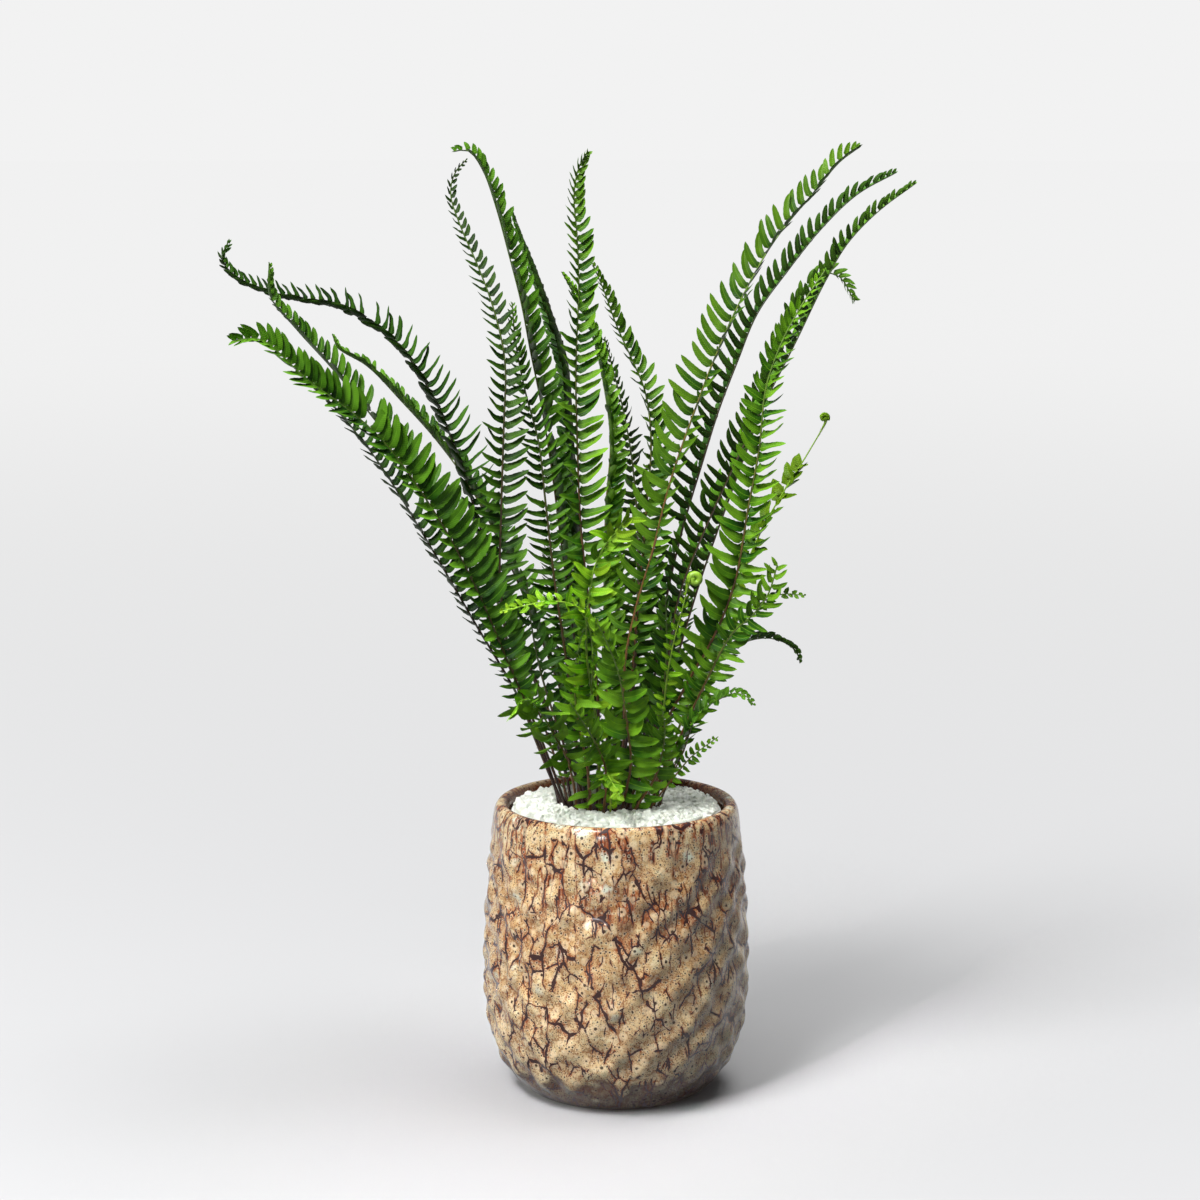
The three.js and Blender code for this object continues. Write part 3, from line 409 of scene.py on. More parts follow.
def ring_points(radius, angles, height):
    return np.stack([radius * np.cos(angles), radius * np.sin(angles), np.full(len(angles), height)], axis=1)


def srgb(red, green, blue):
    """A colour as the eye sees it, 0 to 255, as the linear RGBA that Blender's sockets take."""
    def linear(c):
        c /= 255
        return c / 12.92 if c <= 0.04045 else ((c + 0.055) / 1.055) ** 2.4
    return (linear(red), linear(green), linear(blue), 1)


class Shape:
    """Points and faces gathered from several parts, with a material number and a few numbers for each."""

    def __init__(self):
        self.points = []
        self.corners = []  # faces as rows of 3 or 4 indices
        self.materials = []
        self.at = []  # for each point: a vector that its material reads as "at"
        self.look = []  # for each face: a vector that its material reads as "look"
        self.count = 0

    def add(self, points, faces, material=0, at=None, look=(0, 0, 0)):
        points = np.asarray(points, float)
        faces = np.asarray(faces, int)
        self.points.append(points)
        self.corners.append(faces + self.count)
        self.materials.append(np.full(len(faces), material))
        self.at.append(np.zeros_like(points) if at is None else np.asarray(at, float))
        self.look.append(np.broadcast_to(np.asarray(look, float), (len(faces), 3)))
        self.count += len(points)

    def make(self, name, node, materials, sharp=80):
        """The finished object, which stands for the CAD node."""
        mesh = bpy.data.meshes.new(name)
        faces = [row for rows in self.corners for row in rows.tolist()]
        mesh.from_pydata((np.concatenate(self.points) * MM).tolist(), [], faces)
        mesh.polygons.foreach_set("material_index", np.concatenate(self.materials).astype(np.int32))
        mesh.polygons.foreach_set("use_smooth", np.ones(len(faces), bool))
        at = mesh.attributes.new("at", "FLOAT_VECTOR", "POINT")
        at.data.foreach_set("vector", np.concatenate(self.at).astype(np.float32).ravel())
        look = mesh.attributes.new("look", "FLOAT_VECTOR", "FACE")
        look.data.foreach_set("vector", np.concatenate(self.look).astype(np.float32).ravel())
        mesh.set_sharp_from_angle(angle=math.radians(sharp))
        for material in materials:
            mesh.materials.append(material)
        piece = bpy.data.objects.new(name, mesh)
        bpy.context.scene.collection.objects.link(piece)
        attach(piece, "root")
        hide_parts(node)


def grid_faces(rows, columns, closed=False):
    """Quads of a grid of points, row by row. A closed grid joins its last column to its first."""
    wrap = columns if closed else columns - 1
    r, c = np.meshgrid(np.arange(rows - 1), np.arange(wrap), indexing="ij")
    here, beside = r * columns + c, r * columns + (c + 1) % columns
    return np.stack([here, beside, beside + columns, here + columns], axis=-1).reshape(-1, 4)


# ---- Material nodes ----------------------------------------------------------------------------------
class Look:
    """One material's node tree. Each method adds a node and returns the output that is wanted from it."""

    def __init__(self, name):
        self.material = bpy.data.materials.new(name)
        self.material.use_nodes = True
        self.tree = self.material.node_tree
        self.tree.nodes.clear()

    def node(self, kind, inputs=(), **settings):
        made = self.tree.nodes.new(kind)
        for name, value in settings.items():
            setattr(made, name, value)
        for name, value in dict(inputs).items():
            socket = made.inputs[name]
            if isinstance(value, bpy.types.NodeSocket):
                self.tree.links.new(value, socket)
            else:
                socket.default_value = value
        return made

    def place(self):
        return self.node("ShaderNodeTexCoord").outputs["Object"]

    def attribute(self, name):
        return self.node("ShaderNodeAttribute", attribute_name=name).outputs["Vector"]

    def joined(self, x, y):
        return self.node("ShaderNodeCombineXYZ", {0: x, 1: y}).outputs[0]

    def parts(self, vector):
        return self.node("ShaderNodeSeparateXYZ", {0: vector}).outputs

    def math(self, operation, a, b=0.0):
        return self.node("ShaderNodeMath", {0: a, 1: b}, operation=operation).outputs[0]

    def plus(self, a, b):
        return self.math("ADD", a, b)

    def minus(self, a, b):
        return self.math("SUBTRACT", a, b)

    def times(self, a, b):
        return self.math("MULTIPLY", a, b)

    def squared(self, a):
        return self.math("POWER", a, 2.0)

    def vector_math(self, operation, a, b):
        return self.node("ShaderNodeVectorMath", {0: a, 1: b}, operation=operation).outputs[0]

    def scaled(self, vector, x, y, z):
        return self.vector_math("MULTIPLY", vector, (x, y, z))

    def moved(self, vector, by, amount):
        """vector, shifted by a pattern's colour, which is 0.5 on average."""
        centred = self.vector_math("SUBTRACT", by, (0.5, 0.5, 0.5))
        return self.vector_math("ADD", vector, self.scaled(centred, amount, amount, amount))

    def noise(self, vector, scale, detail=2.0, roughness=0.5, output=0):
        inputs = {"Vector": vector, "Scale": scale, "Detail": detail, "Roughness": roughness}
        return self.node("ShaderNodeTexNoise", inputs).outputs[output]

    def voronoi(self, vector, scale, feature="F1", output="Distance", dimensions="3D"):
        inputs = {"Vector": vector, "Scale": scale}
        settings = {"feature": feature, "voronoi_dimensions": dimensions}
        return self.node("ShaderNodeTexVoronoi", inputs, **settings).outputs[output]

    def ramp(self, value, low, high, start=0.0, end=1.0):
        """value, from low..high to start..end, held at both ends and eased between them."""
        inputs = {"Value": value, "From Min": low, "From Max": high, "To Min": start, "To Max": end}
        made = self.node("ShaderNodeMapRange", inputs, interpolation_type="SMOOTHSTEP")
        return made.outputs["Result"]

    def mix(self, share, a, b):
        return self.node("ShaderNodeMix", {0: share, 6: a, 7: b}, data_type="RGBA").outputs[2]

    def bump(self, height, distance, strength=1.0):
        inputs = {"Height": height, "Distance": distance, "Strength": strength}
        return self.node("ShaderNodeBump", inputs).outputs[0]

    def finish(self, inputs, see_through=0.0):
        """A Principled surface. see_through is the share of light that comes through from behind."""
        surface = self.node("ShaderNodeBsdfPrincipled", inputs).outputs[0]
        if see_through:
            glow = self.node("ShaderNodeBsdfTranslucent", {"Color": inputs["Base Color"]}).outputs[0]
            surface = self.node("ShaderNodeMixShader", {0: see_through, 1: surface, 2: glow}).outputs[0]
        self.node("ShaderNodeOutputMaterial", {"Surface": surface})
        return self.material


# Colours of a leaflet: in full growth, and where it is lightest, at its root and along its midrib.
LEAF_COLOURS = {
    "dark": ((18, 54, 12), (88, 144, 40)),
    "mature": ((25, 73, 12), (120, 182, 44)),
    "bright": ((41, 106, 10), (152, 214, 50)),
    "young": ((98, 180, 8), (190, 236, 56)),
}


def leaf_material(tone):
    """Reads "at": millimetres along and across the leaflet, and the leaflet's place on its rib; and "look": a
    draw for each leaflet, 1 on an underside, and how much darker than its tone the frond is, or below 0 how
    much lighter, which is partly the frond's own tone and partly painted shade and painted light. It also
    paints shade at each leaflet's root and light towards its tip."""
    look = Look("leaf_" + tone)
    deep, light = (srgb(*c) for c in LEAF_COLOURS[tone])
    along, across, place = look.parts(look.attribute("at"))
    draw, under, frond_tone_and_painted_shade = look.parts(look.attribute("look"))
    off_midrib = look.math("ABSOLUTE", across)
    patches = look.noise(look.place(), 120, 3)
    shade = look.plus(look.times(draw, 0.6), look.times(patches, 0.7))
    colour = look.mix(look.ramp(shade, 0.2, 1.1, 0.0, 0.8), deep, light)
    # Painted shade: darker towards each leaflet's root, by the rib.
    colour = look.mix(look.ramp(along, 0.0, 7.0, 0.6, 0.0), colour, look.mix(0.7, deep, srgb(6, 18, 4)))
    # Painted light: lighter towards each leaflet's own tip.
    colour = look.mix(look.ramp(along, 7.0, 22.0, 0.0, 0.35), colour, light)
    colour = look.mix(look.ramp(place, 0.7, 1.0, 0.0, 0.5), colour, light)
    colour = look.mix(look.ramp(off_midrib, 0.12, 0.34, 0.5, 0.0), colour, light)
    vein_place = look.plus(look.times(along, 4.6), look.times(off_midrib, -3.4))
    veins = look.math("SINE", vein_place)
    colour = look.mix(look.ramp(veins, 0.2, 1.0, 0.0, 0.16), colour, srgb(20, 46, 14))
    pale = look.mix(0.3, colour, srgb(74, 98, 40))
    colour = look.mix(under, colour, pale)
    # Partly the frond's own tone, partly painted shade on fronds at the back and in the heart, and painted
    # light on those in front.
    colour = look.mix(frond_tone_and_painted_shade, colour, srgb(8, 22, 6))
    colour = look.mix(look.ramp(frond_tone_and_painted_shade, 0.0, -1.0), colour, light)
    if tone in ("dark", "mature"):
        colour = look.mix(spore_spots(look, along, off_midrib, under), colour, srgb(84, 58, 30))
    height = look.plus(look.times(veins, 0.5), look.ramp(off_midrib, 0.1, 0.5, -1.0, 0.0))
    normal = look.bump(height, 0.00012, 0.7)
    inputs = {"Base Color": colour, "Roughness": 0.36, "Specular IOR Level": 0.12, "Normal": normal}
    return look.finish(inputs, see_through=0.14)


def spore_spots(look, along, off_midrib, under):
    """How far a place on an underside lies in one of the brown spots, which stand in a row by the margin."""
    step = look.minus(look.math("FRACT", look.times(along, 0.55)), 0.5)
    lengthwise = look.times(step, 1.8)
    crosswise = look.minus(off_midrib, 1.9)
    reach = look.plus(look.squared(lengthwise), look.squared(crosswise))
    return look.times(look.ramp(reach, 0.12, 0.3, 0.85, 0.0), under)


# Colours of a stalk: at the soil, half way, and near the tip.
STALK_COLOURS = {
    "dark": ((34, 14, 10), (62, 40, 22), (52, 70, 22)),
    "mature": ((38, 16, 12), (86, 66, 30), (78, 106, 32)),
    "bright": ((52, 22, 14), (126, 86, 44), (108, 144, 44)),
    "young": ((104, 92, 30), (138, 168, 44), (156, 204, 52)),
}


def stalk_material(tone):
    """Reads the third part of "at" as the place along the frond."""
    look = Look("stalk_" + tone)
    low, middle, high = (srgb(*c) for c in STALK_COLOURS[tone])
    place = look.parts(look.attribute("at"))[2]
    uneven = look.noise(look.scaled(look.place(), 1, 1, 0.2), 900, 3)
    moved = look.plus(place, look.ramp(uneven, 0.2, 0.8, -0.06, 0.06))
    colour = look.mix(look.ramp(moved, 0.08, 0.3), low, middle)
    colour = look.mix(look.ramp(moved, 0.45, 0.85), colour, high)
    colour = look.mix(look.ramp(uneven, 0.45, 0.75, 0.0, 0.35), colour, srgb(40, 22, 14))
    normal = look.bump(uneven, 0.0001, 0.6)
    return look.finish({"Base Color": colour, "Roughness": 0.38, "Normal": normal})


def scale_material():
    look = Look("scales")
    shade = look.noise(look.place(), 500)
    colour = look.mix(look.ramp(shade, 0.3, 0.7), srgb(96, 56, 30), srgb(168, 116, 66))
    return look.finish({"Base Color": colour, "Roughness": 0.7})


def soil_material():
    look = Look("soil")
    place = look.place()
    grain = look.noise(place, 900, 5, 0.65)
    clods = look.voronoi(place, 320)
    colour = look.mix(look.ramp(grain, 0.3, 0.7), srgb(18, 12, 8), srgb(62, 42, 28))
    colour = look.mix(look.ramp(clods, 0.1, 0.6, 0.0, 0.5), colour, srgb(34, 24, 17))
    height = look.plus(grain, look.times(clods, 0.8))
    return look.finish({"Base Color": colour, "Roughness": 0.92, "Normal": look.bump(height, 0.0012)})


def stone_material():
    """White marble, with a few greyer and greener chips. "look" holds a draw for each chip."""
    look = Look("marble_chips")
    place = look.place()
    draw, warmth, _ = look.parts(look.attribute("look"))
    colour = look.mix(look.ramp(draw, 0.0, 1.0), srgb(224, 230, 219), srgb(245, 248, 241))
    colour = look.mix(look.ramp(draw, 0.9, 0.94, 0.0, 0.4), colour, srgb(158, 174, 158))
    colour = look.mix(look.times(warmth, 0.22), colour, srgb(214, 204, 178))
    cloud = look.noise(place, 420, 4, 0.6)
    colour = look.mix(look.ramp(cloud, 0.5, 0.8, 0.0, 0.2), colour, srgb(204, 212, 202))
    height = look.noise(place, 1800, 3)
    normal = look.bump(height, 0.0002, 0.5)
    return look.finish({"Base Color": colour, "Roughness": 0.48, "Normal": normal})


# Freckles: cells per metre, radius and pale ring's radius in cells, and the share of cells that have none.
FRECKLES = ((640, 0.3, 0.3, 0.2), (330, 0.26, 0.42, 0.3), (150, 0.18, 0.5, 0.45))
# Cracks: cells per metre, widest half width in metres, and the pattern's range over which one opens.
CRACKS = ((58, 0.00074, 0.47, 0.66), (115, 0.0005, 0.49, 0.65))


def glaze_material():
    """A reactive glaze on stoneware: pale on the bumps and browner in the hollows, paler low down as painted
    light, freckled all over, with dark tapering cracks, rust-brown runs from the rim, pale mint patches that
    are partly milky glaze and partly painted highlight, and a grey-purple band by the foot.
    Reads the first part of "at": 1 in the middle of a hollow, 0 on a bump."""
    look = Look("reactive_glaze")
    place = look.place()
    x, y, height = look.parts(place)
    hollow = look.parts(look.attribute("at"))[0]
    grain = look.noise(place, 1100, 2, 0.7)
    cracks, halo = crack_lines(look, place, hollow)
    colour = glaze_ground_and_painted_light(look, place, hollow, grain)
    # Pale mint patches: partly milky glaze, partly painted highlight on the bump tops.
    colour = look.mix(milky_pools_and_painted_highlight(look, place, hollow, height), colour, srgb(226, 240, 222))
    colour = rim_runs(look, place, height, colour)
    rust = look.times(halo, look.ramp(grain, 0.4, 0.58, 0.35, 0.95))
    colour = look.mix(rust, colour, srgb(146, 62, 26))
    for freckle in FRECKLES:
        spot, ring = freckle_spots(look, place, *freckle)
        colour = look.mix(look.times(ring, 0.4), colour, srgb(240, 222, 182))
        colour = look.mix(look.times(spot, 0.9), colour, srgb(46, 18, 9))
    colour = look.mix(cracks, colour, srgb(48, 11, 4))
    colour = foot_band(look, place, hollow, height, grain, colour)
    off_axis = look.math("SQRT", look.plus(look.squared(x), look.squared(y)))
    inside = look.times(look.ramp(off_axis, 0.0735, 0.0785, 1.0, 0.0), look.ramp(height, 0.1, 0.15))
    lip = look.mix(look.ramp(grain, 0.42, 0.58), srgb(110, 60, 34), srgb(58, 26, 14))
    colour = look.mix(look.times(inside, 0.9), colour, lip)

    soft = look.noise(place, 150, 3, 0.6)
    relief = look.minus(soft, look.times(cracks, 0.9))
    inputs = {"Base Color": colour, "Roughness": look.ramp(cracks, 0.0, 1.0, 0.2, 0.45)}
    inputs |= {"Normal": look.bump(relief, 0.0007, 0.8), "Specular IOR Level": 0.3}
    inputs |= {"Coat Weight": 0.32, "Coat Roughness": 0.05}
    return look.finish(inputs)


def glaze_ground_and_painted_light(look, place, hollow, grain):
    """Beige, paler on the bumps, with painted light that makes it paler low down, and with patches of fine
    orange-brown speckle.
    """
    broad = look.noise(place, 50, 3)
    patches = look.plus(look.noise(place, 190, 3, 0.6), look.times(hollow, 0.14))
    colour = look.mix(look.ramp(broad, 0.35, 0.65), srgb(196, 156, 105), srgb(222, 193, 143))
    # Painted light: makes the lower wall paler.
    colour = look.mix(look.ramp(look.parts(place)[2], 0.03, 0.11, 0.4, 0.0), colour, srgb(240, 218, 174))
    colour = look.mix(look.ramp(patches, 0.5, 0.38, 0.0, 0.7), colour, srgb(226, 214, 172))
    colour = look.mix(look.ramp(grain, 0.54, 0.62, 0.0, 0.55), colour, srgb(112, 62, 34))
    speckled = look.plus(patches, look.times(grain, 0.8))
    return look.mix(look.ramp(speckled, 0.96, 1.1, 0.0, 0.7), colour, srgb(142, 84, 38))


def milky_pools_and_painted_highlight(look, place, hollow, height):
    """Pale mint patches on the bumps, most of all below the rim: partly the glaze run together into small
    milky pools, partly a painted highlight on the bump tops.
    """
    uneven = look.moved(place, look.noise(place, 260, 3, output=1), 0.006)
    chosen = look.ramp(look.parts(look.voronoi(uneven, 62, output="Color"))[0], 0.52, 0.56)
    round_pool = look.ramp(look.voronoi(uneven, 62), 0.14, 0.36, 0.85, 0.0)
    pools = look.times(look.times(round_pool, chosen), look.ramp(hollow, 0.75, 0.4))
    return look.times(pools, look.ramp(height, 0.03, 0.16, 0.35, 1.0))


def rim_runs(look, place, height, colour):
    """Thin crooked runs of rust brown, dark in their middle, which start at the rim."""
    often = look.ramp(look.noise(place, 30, 2), 0.36, 0.46)
    often = look.times(often, look.ramp(height, 0.11, 0.17))
    streaks = look.noise(look.scaled(place, 1, 1, 0.14), 90, 3, 0.55)
    wide = look.times(line_at(look, streaks, 0.06), look.times(often, 0.85))
    colour = look.mix(wide, colour, srgb(160, 76, 34))
    return look.mix(look.times(line_at(look, streaks, 0.02), often), colour, srgb(58, 16, 8))


def unrolled(look, place, upright):
    """The pot's wall laid flat, from the way round it and a share of the height. The seam is at the back."""
    x, y, height = look.parts(place)
    turn = look.math("ARCTAN2", x, look.times(y, -1.0))
    return look.joined(look.times(turn, POT_RADIUS * MM), look.times(height, upright))


def crack_lines(look, place, hollow):
    """Crooked cracks that open and close along their way, and how near each place is to one."""
    wandering = look.moved(unrolled(look, place, 0.5), look.noise(place, 100, 2, output=1), 0.006)
    cracks, halo = 0.0, 0.0
    for cells, half_width, low, high in CRACKS:
        edge = look.voronoi(wandering, cells, "DISTANCE_TO_EDGE", dimensions="2D")
        here = look.plus(look.times(hollow, 0.07), look.noise(place, 0.8 * cells, 1))
        width = look.ramp(here, low, high, 0.0, half_width * cells)
        cracks = look.math("MAXIMUM", cracks, look.math("LESS_THAN", edge, width))
        around = look.ramp(look.math("DIVIDE", edge, look.plus(width, 0.0001)), 1.0, 4.2, 1.0, 0.0)
        halo = look.math("MAXIMUM", halo, around)
    return cracks, halo


def freckle_spots(look, place, cells, radius, ring, bare_share):
    """Round spots, one in the middle of a cell or none, and the pale ring round each."""
    draw = look.parts(look.voronoi(place, cells, output="Color"))[0]
    chosen = look.ramp(draw, bare_share, bare_share + 0.02)
    off = look.voronoi(place, cells)
    spot = look.ramp(off, 0.75 * radius, 1.1 * radius, 1.0, 0.0)
    around = look.ramp(off, 0.75 * ring, 1.1 * ring, 1.0, 0.0)
    return look.times(spot, chosen), look.times(around, chosen)


def foot_band(look, place, hollow, height, grain, colour):
    """The bare grey-purple clay by the foot, whose upper edge dips between the bumps."""
    edge = look.plus(height, look.times(hollow, -0.007))
    edge = look.plus(edge, look.ramp(look.noise(place, 60, 3), 0.3, 0.7, -0.009, 0.009))
    share = look.ramp(edge, 0.016, 0.026, 1.0, 0.0)
    share = look.times(share, look.ramp(grain, 0.4, 0.62, 0.95, 0.6))
    clay = look.mix(look.ramp(grain, 0.4, 0.6), srgb(96, 64, 62), srgb(40, 22, 24))
    return look.mix(share, colour, clay)


def line_at(look, pattern, half_width):
    """1 on the pattern's middle contour, as a thin crooked line."""
    off = look.math("ABSOLUTE", look.minus(pattern, 0.5))
    return look.ramp(off, 0.4 * half_width, half_width, 1.0, 0.0)


def floor_material():
    """Pale grey. Far off, where the lamps don't reach, it glows as brightly as the backdrop that it meets."""
    look = Look("pale_floor")
    x, y, _ = look.parts(look.place())
    square = look.plus(look.squared(x), look.squared(y))
    lit = look.math("POWER", look.plus(look.math("DIVIDE", square, LAMP_HEIGHT**2), 1.0), -2.0)
    far = look.ramp(look.math("SQRT", square), 0.0, 6.0)
    glow = look.times(look.minus(1.0, lit), look.plus(0.76, look.times(far, 0.12)))
    inputs = {"Base Color": look.mix(far, srgb(195, 195, 196), srgb(0, 0, 0)), "Roughness": 0.95}
    inputs |= {"Specular IOR Level": 0.0, "Emission Color": (1, 1, 1, 1), "Emission Strength": glow}
    return look.finish(inputs)


# ---- Pot ---------------------------------------------------------------------------------------------
def bezier(a, b, c, d, count):
    t = np.linspace(0, 1, count)[:, None]
    a, b, c, d = (np.array(p, float) for p in (a, b, c, d))
    return (1 - t) ** 3 * a + 3 * (1 - t) ** 2 * t * b + 3 * (1 - t) * t * t * c + t**3 * d


def even_steps(points, count):
    """The same line at count even steps."""
    lengths = np.concatenate([[0], np.cumsum(np.linalg.norm(np.diff(points, axis=0), axis=1))])
    at = np.linspace(0, lengths[-1], count + 1)
    return np.stack([np.interp(at, lengths, points[:, i]) for i in (0, 1)], axis=1)


def outer_wall(count):
    belly, shoulder = (POT_RADIUS, BELLY_HEIGHT), (SHOULDER_RADIUS, SHOULDER_HEIGHT)
    foot = bezier((FOOT_RADIUS, 0), (FOOT_RADIUS + 10, 2.5), (POT_RADIUS, 23), belly, 200)
    wall = bezier(belly, (POT_RADIUS + 0.5, 120), (SHOULDER_RADIUS + 3, 160), shoulder, 200)
    return even_steps(np.concatenate([foot, wall[1:]]), count)


def inside_wall(inset):
    """The pot's inside from below its mouth down to its floor, moved inwards and up."""
    reach = POT_RADIUS - WALL
    return [
        (reach - 3 - inset, 140),
        (reach - inset, BELLY_HEIGHT),
        (reach - 9 - inset, BELLY_HEIGHT / 2),
        (FOOT_RADIUS - inset, FLOOR_HEIGHT + inset),
    ]


def make_pot():
    """The hammered wall in one fine mesh, with soft bumps where the CAD has corners."""
    fine = 12  # rows of points for each row of bumps
    wall = outer_wall(fine * BUMP_ROWS)
    crest, mouth = (MOUTH_RADIUS + 5, POT_HEIGHT), (MOUTH_RADIUS, POT_HEIGHT - 12)
    rim = bezier(wall[-1], (SHOULDER_RADIUS - 1, POT_HEIGHT - 1), (crest[0] + 3, POT_HEIGHT + 0.5), crest, 14)
    lip = bezier(crest, (crest[0] - 3, POT_HEIGHT - 0.3), (MOUTH_RADIUS + 1, POT_HEIGHT - 3), mouth, 12)
    profile = np.concatenate([[(AXIS, 0)], wall, rim[1:], lip[1:], inside_wall(0), [(AXIS, FLOOR_HEIGHT)]])
    sides = 10 * BUMPS_ROUND
    angles = angles_round(sides)
    smooth_rows = len(profile) - len(wall) - 1
    row = np.concatenate([[0], np.arange(len(wall)) / fine, np.full(smooth_rows, BUMP_ROWS)])
    radius, height = (np.repeat(profile[:, i], sides) for i in (0, 1))
    angle, row = np.tile(angles, len(profile)), np.repeat(row, sides)
    x, y = np.sin(angle), np.cos(angle)
    noise.seed_set(SEEDS["pot"])  # or the net would come out a little different on each run
    waves = np.stack([x * radius, y * radius, height], axis=1) / DRIFT["wave"]
    drift = np.array([noise.noise_vector(p) for p in waves])
    turn = angle * BUMPS_ROUND / (2 * np.pi) + DRIFT["round"] * drift[:, 0]
    level = row + DRIFT["up"] * drift[:, 1]
    hollow = 0.5 - 0.5 * np.cos(np.pi * turn) * np.cos(np.pi * level)
    strength = smooth_step(row, 0.6, 2.0) * (1 - smooth_step(row, BUMP_ROWS - 1.5, BUMP_ROWS))
    depth = (BUMP_DEPTH + PROUD) * (1 + DRIFT["depth"] * drift[:, 2]) * strength * hollow
    radius = radius + PROUD * strength - depth
    points = np.stack([x * radius, y * radius, height], axis=1)
    faces = grid_faces(len(profile), sides, closed=True)
    at = np.stack([strength * hollow, 0 * hollow, 0 * hollow], axis=1)
    shape = Shape()
    shape.add(points, faces[:, ::-1], 0, at)
    shape.make("glazed_pot", "pot", [glaze_material()], sharp=60)


# ---- Soil --------------------------------------------------------------------------------------------
def in_crown(x, y):
    """Less than 1 inside the oval that the stalks come up through."""
    return np.hypot((x - CROWN["x"]) / CROWN["half_width"], (y - CROWN["y"]) / CROWN["half_depth"])


def soil_height(x, y):
    """Where the soil's top is, mounded a little round the stalks."""
    return SOIL_TOP + MOUND * (1 - smooth_step(in_crown(x, y), 0.2, 1.0))


def make_soil():
    """A body that fills the pot, crumbly on top and mounded a little round the stalks."""
    sides, rings = 120, 44
    radii = np.linspace(0.05, MOUTH_RADIUS - 1, rings)
    angles = angles_round(sides)
    radius, angle = np.repeat(radii, sides), np.tile(angles, rings)
    x, y = radius * np.cos(angle), radius * np.sin(angle)
    rough = np.array([noise.fractal((a / 9, b / 9, 0), 1.0, 2.0, 4) for a, b in zip(x, y)])
    top = np.stack([x, y, soil_height(x, y) + 1.3 * rough], axis=1)
    walls = inside_wall(1) + [(radii[0], FLOOR_HEIGHT + 1)]
    below = [ring_points(radius_there, angles, height) for radius_there, height in walls]
    shape = Shape()
    shape.add(np.concatenate([top, *below]), grid_faces(rings + len(walls), sides, closed=True))
    draws = np.random.default_rng(SEEDS["soil"])
    for _ in range(CRUMBS["count"]):
        angle, share = draws.uniform(0, 2 * np.pi), math.sqrt(draws.uniform())
        x = CROWN["x"] + (CROWN["half_width"] - 2) * share * math.cos(angle)
        y = CROWN["y"] + (CROWN["half_depth"] - 2) * share * math.sin(angle)
        size = draws.uniform(CRUMBS["least"], CRUMBS["most"])
        points, faces = chip(draws, CRUMBS["corners"], size * np.array([1.2, 1, 0.8]))
        shape.add(points + (x, y, soil_height(x, y) + 0.2), faces)
    shape.make("soil_top", "soil", [soil_material()], sharp=40)


# ---- Gravel ------------------------------------------------------------------------------------------
def chip(draws, corners, size):
    """An angular chip: the hull of points drawn round a ball, squeezed to size and turned at random."""
    points = unit(draws.normal(size=(corners, 3))) * draws.uniform(0.82, 1.0, (corners, 1)) * size
    axis = unit(draws.normal(size=3))
    turn = np.array(Vector(axis).to_track_quat("Z", "Y").to_matrix())
    return hull(points @ turn.T)


def hull(points):
    """The convex hull of a few points, as points and triangles that face outwards."""
    a, b, c = np.array(list(itertools.combinations(range(len(points)), 3))).T
    normal = np.cross(points[b] - points[a], points[c] - points[a])
    side = np.einsum("fi,fpi->fp", normal, points[None] - points[a][:, None])
    outward, inward = (side <= 1e-9).all(1), (side >= -1e-9).all(1)
    faces = np.concatenate([np.stack([a, b, c], 1)[outward], np.stack([a, c, b], 1)[inward]])
    used, faces = np.unique(faces, return_inverse=True)
    return points[used], faces.reshape(-1, 3)


def heap(x, y):
    """How high the dressing lies at a place."""
    angle = np.arctan2(y, x)
    wall = MOUTH_RADIUS - 0.6
    at_wall = in_crown(wall * np.cos(angle), wall * np.sin(angle))
    spread = np.clip((in_crown(x, y) - 1) / (at_wall - 1), -0.4, 1)
    return GRAVEL_BASE + 0.8 + GRAVEL_DEPTH * np.cos(1.15 * (spread - 0.3))


def gravel_bed():
    """The surface under the loose chips, as rings of points from the crown out to the wall."""
    sides, rings = 90, 12
    angles = angles_round(sides)
    wall = MOUTH_RADIUS - 0.8
    rows = []
    for share in np.linspace(0, 1, rings):
        x = lerp(CROWN["x"] + CROWN["half_width"] * np.cos(angles), wall * np.cos(angles), share)
        y = lerp(CROWN["y"] + CROWN["half_depth"] * np.sin(angles), wall * np.sin(angles), share)
        rows.append(np.stack([x, y, heap(x, y) - 2.2 - 3 * (share == 0)], axis=1))
    return np.concatenate(rows), grid_faces(rings, sides, closed=True)


def make_gravel():
    """A bed, and loose chips over it in two layers, each on a net of triangles."""
    shape = Shape()
    shape.add(*gravel_bed(), look=(0.6, 0.1, 0))
    draws = np.random.default_rng(SEEDS["gravel"])
    roots = np.array([frond["root"] for frond in FRONDS], float)
    step = CHIPS["spacing"]
    for layer, sink in enumerate(CHIP_LAYERS):
        for i, j in itertools.product(np.arange(-17, 18), np.arange(-20, 21)):
            x = step * (i + 0.5 * (j % 2) + 0.5 * layer) + draws.uniform(-0.9, 0.9)
            y = step * 0.87 * (j + 0.4 * layer) + draws.uniform(-0.9, 0.9)
            size = draws.uniform(CHIPS["least"], CHIPS["most"])
            if math.hypot(x, y) > MOUTH_RADIUS - 1.4 - size:
                continue
            if in_crown(x, y) < draws.uniform(0.55, 0.98):
                continue
            if np.hypot(*(roots - (x, y)).T).min() < size + 1.6:
                continue
            points, faces = chip(draws, CHIPS["corners"], size * np.array([1.2, 1.0, 0.85]))
            z = heap(x, y) - sink + draws.uniform(-0.5, 0.8) + 0.6
            shape.add(points + (x, y, z), faces, look=(draws.uniform(), draws.uniform(), 0))
    shape.make("gravel_chips", "gravel", [stone_material()], sharp=48)


